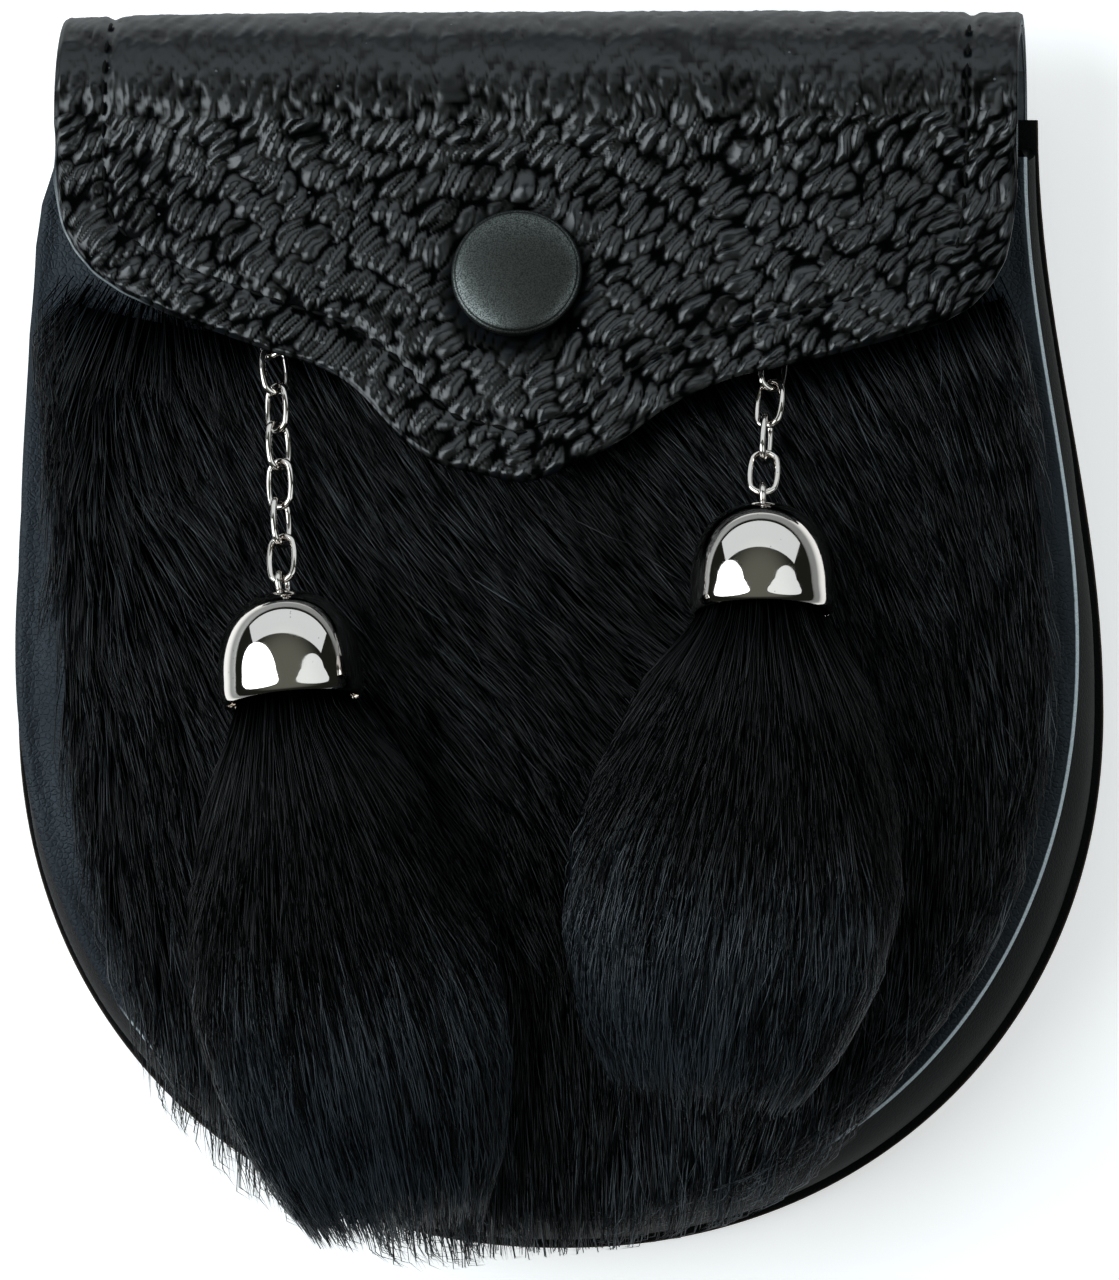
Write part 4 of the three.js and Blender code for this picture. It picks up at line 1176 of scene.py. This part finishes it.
def make_grain_group():
    """Normal of fine leather: creases along the borders of small cells, over soft noise."""
    group, given, result = new_group("fine leather grain", [
        ("Vector", "NodeSocketVector", None),
        ("Crease scale", "NodeSocketFloat", 900.0),
        ("Pore scale", "NodeSocketFloat", 2600.0),
        ("Depth", "NodeSocketFloat", 0.0001),
    ], "Normal", "NodeSocketVector")
    creases = group.nodes.new("ShaderNodeTexVoronoi")
    creases.feature = "DISTANCE_TO_EDGE"
    group.links.new(given.outputs["Vector"], creases.inputs["Vector"])
    group.links.new(given.outputs["Crease scale"], creases.inputs["Scale"])
    border = add_range(group, creases.outputs["Distance"], 0.0, 0.22)
    pores = add_noise(group, given.outputs["Vector"], given.outputs["Pore scale"])
    height = add_math(group, "ADD", border, add_math(group, "MULTIPLY", pores, 0.9))
    bump = group.nodes.new("ShaderNodeBump")
    group.links.new(height, bump.inputs["Height"])
    group.links.new(given.outputs["Depth"], bump.inputs["Distance"])
    group.links.new(bump.outputs["Normal"], result.inputs["Normal"])
    return group


def make_speckle_group():
    """A mask of small round specks: near one random point of each cell, in the cells that noise picks."""
    group, given, result = new_group("speckle", [
        ("Vector", "NodeSocketVector", None),
        ("Scale", "NodeSocketFloat", 600.0),
        ("Size", "NodeSocketFloat", 0.2),
        ("Share", "NodeSocketFloat", 0.4),
    ], "Mask", "NodeSocketFloat")
    specks = group.nodes.new("ShaderNodeTexVoronoi")
    group.links.new(given.outputs["Vector"], specks.inputs["Vector"])
    group.links.new(given.outputs["Scale"], specks.inputs["Scale"])
    near = add_math(group, "LESS_THAN", specks.outputs["Distance"], given.outputs["Size"])
    split = group.nodes.new("ShaderNodeSeparateColor")
    group.links.new(specks.outputs["Color"], split.inputs["Color"])
    chosen = add_math(group, "LESS_THAN", split.outputs[0], given.outputs["Share"])
    group.links.new(add_math(group, "MULTIPLY", near, chosen), result.inputs["Mask"])
    return group


def make_raw_edge_group():
    """A mask of the bare split at a cut edge, broken up by noise."""
    group, given, result = new_group("raw edge", [
        ("Edge", "NodeSocketFloat", 0.0),
        ("Vector", "NodeSocketVector", None),
        ("Wear", "NodeSocketFloat", 0.5),
    ], "Mask", "NodeSocketFloat")
    rough = add_noise(group, given.outputs["Vector"], 700.0)
    level = add_math(group, "MULTIPLY", rough, given.outputs["Wear"])
    shown = add_math(group, "SUBTRACT", given.outputs["Edge"], level, clamp=True)
    group.links.new(add_range(group, shown, 0.1, 0.6), result.inputs["Mask"])
    return group


GRAIN = make_grain_group()
SPECKLE = make_speckle_group()
RAW_EDGE = make_raw_edge_group()


def use_group(tree, group, vector, **values):
    """A node group in a material, with its vector linked and its other inputs set or linked."""
    node = tree.nodes.new("ShaderNodeGroup")
    node.node_tree = group
    tree.links.new(vector, node.inputs["Vector"])
    for label, value in values.items():
        socket = node.inputs[label.replace("_", " ")]
        if isinstance(value, (int, float)):
            socket.default_value = value
        else:
            tree.links.new(value, socket)
    return node.outputs[0]


def attribute(tree, name):
    """A value that the mesh carries at its points."""
    node = tree.nodes.new("ShaderNodeAttribute")
    node.attribute_name = name
    return node.outputs["Fac"]


def coordinates(tree, kind):
    """A place on the object, in its own frame or its unrolled sheet."""
    return tree.nodes.new("ShaderNodeTexCoord").outputs[kind]


def new_material(name, colour, roughness, metallic=0.0, specular=0.5):
    """A material with its even values, and its shader."""
    material = bpy.data.materials.new(name)
    material.use_nodes = True
    shader = material.node_tree.nodes["Principled BSDF"]
    shader.inputs["Base Color"].default_value = (*colour, 1)
    shader.inputs["Roughness"].default_value = roughness
    shader.inputs["Metallic"].default_value = metallic
    shader.inputs["Specular IOR Level"].default_value = specular
    return material, shader


def set_coat(shader, roughness, index):
    """The even values of a thin gloss coat, whose weight each material links itself."""
    shader.inputs["Coat Roughness"].default_value = roughness
    shader.inputs["Coat IOR"].default_value = index


def make_flap_leather():
    """Pits and creases darkened as painted shade, lighter tops, a few specks of lint, a pale split at the
    cut edge.
    """
    material, shader = new_material("black pebbled leather", (0.01, 0.011, 0.013), 0.4, specular=0.0)
    set_coat(shader, 0.29, 1.62)
    tree = material.node_tree
    place = coordinates(tree, "UV")
    top = attribute(tree, "grain_top")
    patch = add_noise(tree, place, 60.0)
    uneven = add_range(tree, patch, 0.2, 0.8, 0.6, 1.0)
    # Light tops against dark pits and creases of the grain, times cloudy patches; the darkness in pits and
    # creases is painted shade.
    full_share = add_math(tree, "MULTIPLY", add_range(tree, top, 0.25, 0.95), uneven)
    colour = add_blend(tree, full_share, (0.0002, 0.0003, 0.0004), (0.0005, 0.0028, 0.0055))
    lint = use_group(tree, SPECKLE, place, Scale=520.0, Size=0.1, Share=0.1)
    colour = add_blend(tree, lint, colour, (0.07, 0.075, 0.08))
    raw = use_group(tree, RAW_EDGE, coordinates(tree, "Object"), Edge=attribute(tree, "raw_edge"), Wear=0.5)
    colour = add_blend(tree, raw, colour, (0.16, 0.18, 0.19))
    tree.links.new(colour, shader.inputs["Base Color"])
    bold = add_range(tree, attribute(tree, "grain_depth"), 0.0, 1.0, 0.24, 1.0)
    gloss = add_math(tree, "MULTIPLY", add_range(tree, top, 0.06, 0.52, 0.02, 1.0), bold)
    tree.links.new(gloss, shader.inputs["Coat Weight"])
    leaned = tree.nodes.new("ShaderNodeMapping")
    leaned.vector_type = "TEXTURE"
    leaned.inputs["Rotation"].default_value = (0, 0, PEBBLE_LEAN)
    leaned.inputs["Scale"].default_value = (1.5, 1, 1)
    tree.links.new(place, leaned.inputs["Vector"])
    wrinkled = leaned.outputs["Vector"]
    normal = use_group(tree, GRAIN, wrinkled, Crease_scale=2400.0, Pore_scale=6000.0, Depth=0.000026)
    tree.links.new(normal, shader.inputs["Normal"])
    return material


def make_panel_leather():
    """Black leather in cloudy patches, with a fine grain and a pale raw edge at the rim."""
    material, shader = new_material("creased panel leather", (0.009, 0.01, 0.013), 0.42, specular=0.35)
    shader.inputs["Specular Tint"].default_value = (0.75, 0.88, 1.0, 1)
    tree = material.node_tree
    place = coordinates(tree, "Object")
    patch = add_noise(tree, place, 45.0)
    colour = add_blend(tree, patch, (0.0025, 0.0035, 0.005), (0.006, 0.008, 0.011))
    raw = use_group(tree, RAW_EDGE, place, Edge=attribute(tree, "raw_edge"), Wear=0.35)
    colour = add_blend(tree, raw, colour, (0.55, 0.62, 0.66))
    tree.links.new(colour, shader.inputs["Base Color"])
    tree.links.new(add_range(tree, patch, 0.3, 0.7, 0.46, 0.62), shader.inputs["Roughness"])
    normal = use_group(tree, GRAIN, place, Crease_scale=1300.0, Pore_scale=2600.0, Depth=0.00005)
    tree.links.new(normal, shader.inputs["Normal"])
    return material


def make_smooth_leather():
    """Matte black leather that is slightly brown at its raw rim."""
    material, shader = new_material("smooth gusset leather", (0.008, 0.008, 0.009), 0.6, specular=0.03)
    tree = material.node_tree
    place = coordinates(tree, "Object")
    patch = add_noise(tree, place, 70.0)
    colour = add_blend(tree, patch, (0.002, 0.0025, 0.0025), (0.006, 0.0065, 0.0065))
    raw = use_group(tree, RAW_EDGE, place, Edge=attribute(tree, "raw_edge"), Wear=0.5)
    colour = add_blend(tree, raw, colour, (0.05, 0.035, 0.025))
    tree.links.new(colour, shader.inputs["Base Color"])
    normal = use_group(tree, GRAIN, place, Crease_scale=1500.0, Pore_scale=3200.0, Depth=0.00004)
    tree.links.new(normal, shader.inputs["Normal"])
    return material


def make_lining_leather():
    """Undyed fibres, grey and rough."""
    material, shader = new_material("pale lining split", (0.3, 0.33, 0.35), 0.85, specular=0.2)
    tree = material.node_tree
    place = coordinates(tree, "Object")
    fibre = add_noise(tree, place, 900.0, 6.0)
    colour = add_blend(tree, fibre, (0.05, 0.056, 0.06), (0.14, 0.155, 0.165))
    tree.links.new(colour, shader.inputs["Base Color"])
    return material


def make_fur_material():
    """Own lightness and painted sheen lower down, painted shade at the root, a bluish shine along the run.
    """
    material, shader = new_material("black rabbit fur", (0.008, 0.009, 0.012), 0.6, specular=0.0)
    set_coat(shader, 0.36, 1.8)
    tree = material.node_tree
    tone_and_sheen = attribute(tree, "tone_and_sheen")
    run = attribute(tree, "run")
    # Lighter and bluer for bright hairs: each hair's own lightness plus painted sheen.
    colour = add_blend(tree, add_range(tree, tone_and_sheen, 0.2, 1.0), (0.001, 0.0014, 0.0019), (0.025, 0.036, 0.047))
    # Painted shade deep in the pile: near black at the root, the hair's colour from six tenths of its run.
    colour = add_blend(tree, add_range(tree, run, 0.0, 0.6), (0.0006, 0.0006, 0.0007), colour)
    tree.links.new(colour, shader.inputs["Base Color"])
    gloss = add_range(tree, tone_and_sheen, 0.0, 1.0, 0.3, 1.0)
    shine = add_math(tree, "MULTIPLY", add_range(tree, run, 0.0, 0.7), gloss)
    tree.links.new(shine, shader.inputs["Coat Weight"])
    return material


def make_chrome():
    """Plated steel with a thin tarnish in patches."""
    material, shader = new_material("chrome plate", (0.69, 0.64, 0.6), 0.04, 1.0)
    tree = material.node_tree
    place = coordinates(tree, "Object")
    patch = add_noise(tree, place, 300.0)
    tree.links.new(add_range(tree, patch, 0.4, 0.75, 0.03, 0.09), shader.inputs["Roughness"])
    dust = use_group(tree, SPECKLE, place, Scale=1500.0, Size=0.16, Share=0.08)
    tree.links.new(add_blend(tree, dust, (0.69, 0.64, 0.6), (0.37, 0.36, 0.34)), shader.inputs["Base Color"])
    return material


def make_gunmetal():
    """Dark plating that is covered in fine lighter specks."""
    material, shader = new_material("speckled gunmetal", (0.09, 0.09, 0.095), 0.42, 1.0)
    tree = material.node_tree
    place = coordinates(tree, "Object")
    fine = add_noise(tree, place, 5200.0, 2.0)
    colour = add_blend(tree, add_range(tree, fine, 0.3, 0.7), (0.022, 0.025, 0.024), (0.12, 0.13, 0.125))
    tree.links.new(colour, shader.inputs["Base Color"])
    tree.links.new(add_range(tree, fine, 0.3, 0.7, 0.42, 0.28), shader.inputs["Roughness"])
    return material


flap_leather = make_flap_leather()
lining_leather = make_lining_leather()
panel_leather = make_panel_leather()
smooth_leather = make_smooth_leather()
black_thread, _ = new_material("black thread", (0.001, 0.001, 0.001), 0.7, specular=0.1)
fur = make_fur_material()
chrome = make_chrome()
gunmetal = make_gunmetal()

make_flap(flap_leather)
make_lining(lining_leather)
make_flap_stitches(black_thread)
make_front_panel(panel_leather)
make_back_panel(smooth_leather)
make_gusset(smooth_leather)
make_belt_loop(smooth_leather, black_thread)
make_snap_cap(gunmetal)
LINKS = {"left": 7, "right": 5}
for side, count in LINKS.items():
    make_links(side, count, chrome)
    bell_top, bell_up = make_bell(side, count, chrome)
    make_tassel(side, bell_top, bell_up, fur)
make_pelt(fur)
make_fur(fur)


# Floor, light and camera

PHOTO_HEIGHT = 1280
MM_PER_PIXEL = 0.14
SENSOR_HEIGHT = 24
CAMERA_AWAY = 1400.0
CAMERA_YAW = math.radians(5.5)
PICTURE_MIDDLE = (2.7, -1.8, 34.0)


def in_frame(point):
    """A point in mm over the pouch's middle as a place in the shared frame in m."""
    return [METRE * c for c in (point[0], point[1] - LOOP_RISE, point[2])]


def make_camera():
    """A long lens over the pouch, turned a little to its right side."""
    data = bpy.data.cameras.new("camera")
    data.sensor_fit = "VERTICAL"
    data.sensor_height = SENSOR_HEIGHT
    data.lens = SENSOR_HEIGHT * CAMERA_AWAY / (PHOTO_HEIGHT * MM_PER_PIXEL)
    data.clip_end = 10
    camera = bpy.data.objects.new("camera", data)
    bpy.context.scene.collection.objects.link(camera)
    x, y, z = PICTURE_MIDDLE
    aside, above = CAMERA_AWAY * math.sin(CAMERA_YAW), CAMERA_AWAY * math.cos(CAMERA_YAW)
    camera.location = in_frame((x + aside, y, z + above))
    camera.rotation_euler = (0, CAMERA_YAW, 0)
    bpy.context.scene.camera = camera


LIGHT_COLOUR = (0.86, 0.95, 1)
LIGHT_AIM = (0, 0, 0.04)


def make_light(name, place, size, power, shape="RECTANGLE"):
    """A soft box or umbrella that faces the pouch."""
    data = bpy.data.lights.new(name, "AREA")
    data.shape = shape
    data.size, data.size_y = size
    data.energy = power
    data.color = LIGHT_COLOUR
    light = bpy.data.objects.new(name, data)
    bpy.context.scene.collection.objects.link(light)
    light.location = place
    light.rotation_euler = (Vector(LIGHT_AIM) - Vector(place)).to_track_quat("-Z", "Y").to_euler()


FLOOR_HALF = 3.0
FLOOR_PALE_TO = 0.13
FLOOR_GREY_FROM = 0.26
FLOOR_PAINTED_GLOW = 0.5


def make_floor():
    """A board in a painted pool of light, pale and glowing near the pouch, grey away, so the bells mirror a
    dark room.
    """
    points = np.array([[-1, -1, 0], [1, -1, 0], [1, 1, 0], [-1, 1, 0]]) * FLOOR_HALF
    mesh = bpy.data.meshes.new("floor")
    mesh.from_pydata(points.tolist(), [], [[0, 1, 2, 3]])
    material, shader = new_material("floor in painted light", (0.9, 0.9, 0.9), 0.7, specular=0.0)
    tree = material.node_tree
    away = tree.nodes.new("ShaderNodeVectorMath")
    away.operation = "LENGTH"
    tree.links.new(coordinates(tree, "Object"), away.inputs[0])
    # Painted pool of light: the board is pale near the pouch and grey farther out.
    near = add_range(tree, away.outputs["Value"], FLOOR_PALE_TO, FLOOR_GREY_FROM, 1.0, 0.0)
    tree.links.new(add_blend(tree, near, (0.4, 0.4, 0.4), (0.9, 0.9, 0.9)), shader.inputs["Base Color"])
    # Painted glow: the pale part gives off light, though the board is no lamp.
    tree.links.new(add_blend(tree, near, (0, 0, 0), (1, 1, 1)), shader.inputs["Emission Color"])
    shader.inputs["Emission Strength"].default_value = FLOOR_PAINTED_GLOW
    mesh.materials.append(material)
    floor = bpy.data.objects.new("floor", mesh)
    bpy.context.scene.collection.objects.link(floor)


def make_world():
    """A dim room, lighter overhead and nearly dark round the sides."""
    world = bpy.data.worlds.new("studio")
    world.use_nodes = True
    tree = world.node_tree
    tree.nodes["Background"].inputs["Color"].default_value = (0.93, 1.0, 0.86, 1)
    split = tree.nodes.new("ShaderNodeSeparateXYZ")
    tree.links.new(coordinates(tree, "Generated"), split.inputs[0])
    glow = add_range(tree, split.outputs["Z"], 0.45, 0.9, 0.015, 0.15)
    tree.links.new(glow, tree.nodes["Background"].inputs["Strength"])
    bpy.context.scene.world = world


make_camera()
make_floor()
make_world()
make_light("top softbox", (0.0, 1.09, 0.51), (3.2, 0.85), 8.5)
make_light("left softbox", (-0.79, 0.09, 0.8), (1.05, 1.35), 14, shape="ELLIPSE")
make_light("right umbrella", (0.72, 0.09, 0.87), (0.95, 1.15), 3.0, shape="ELLIPSE")
bpy.context.scene.view_settings.view_transform = "Standard"
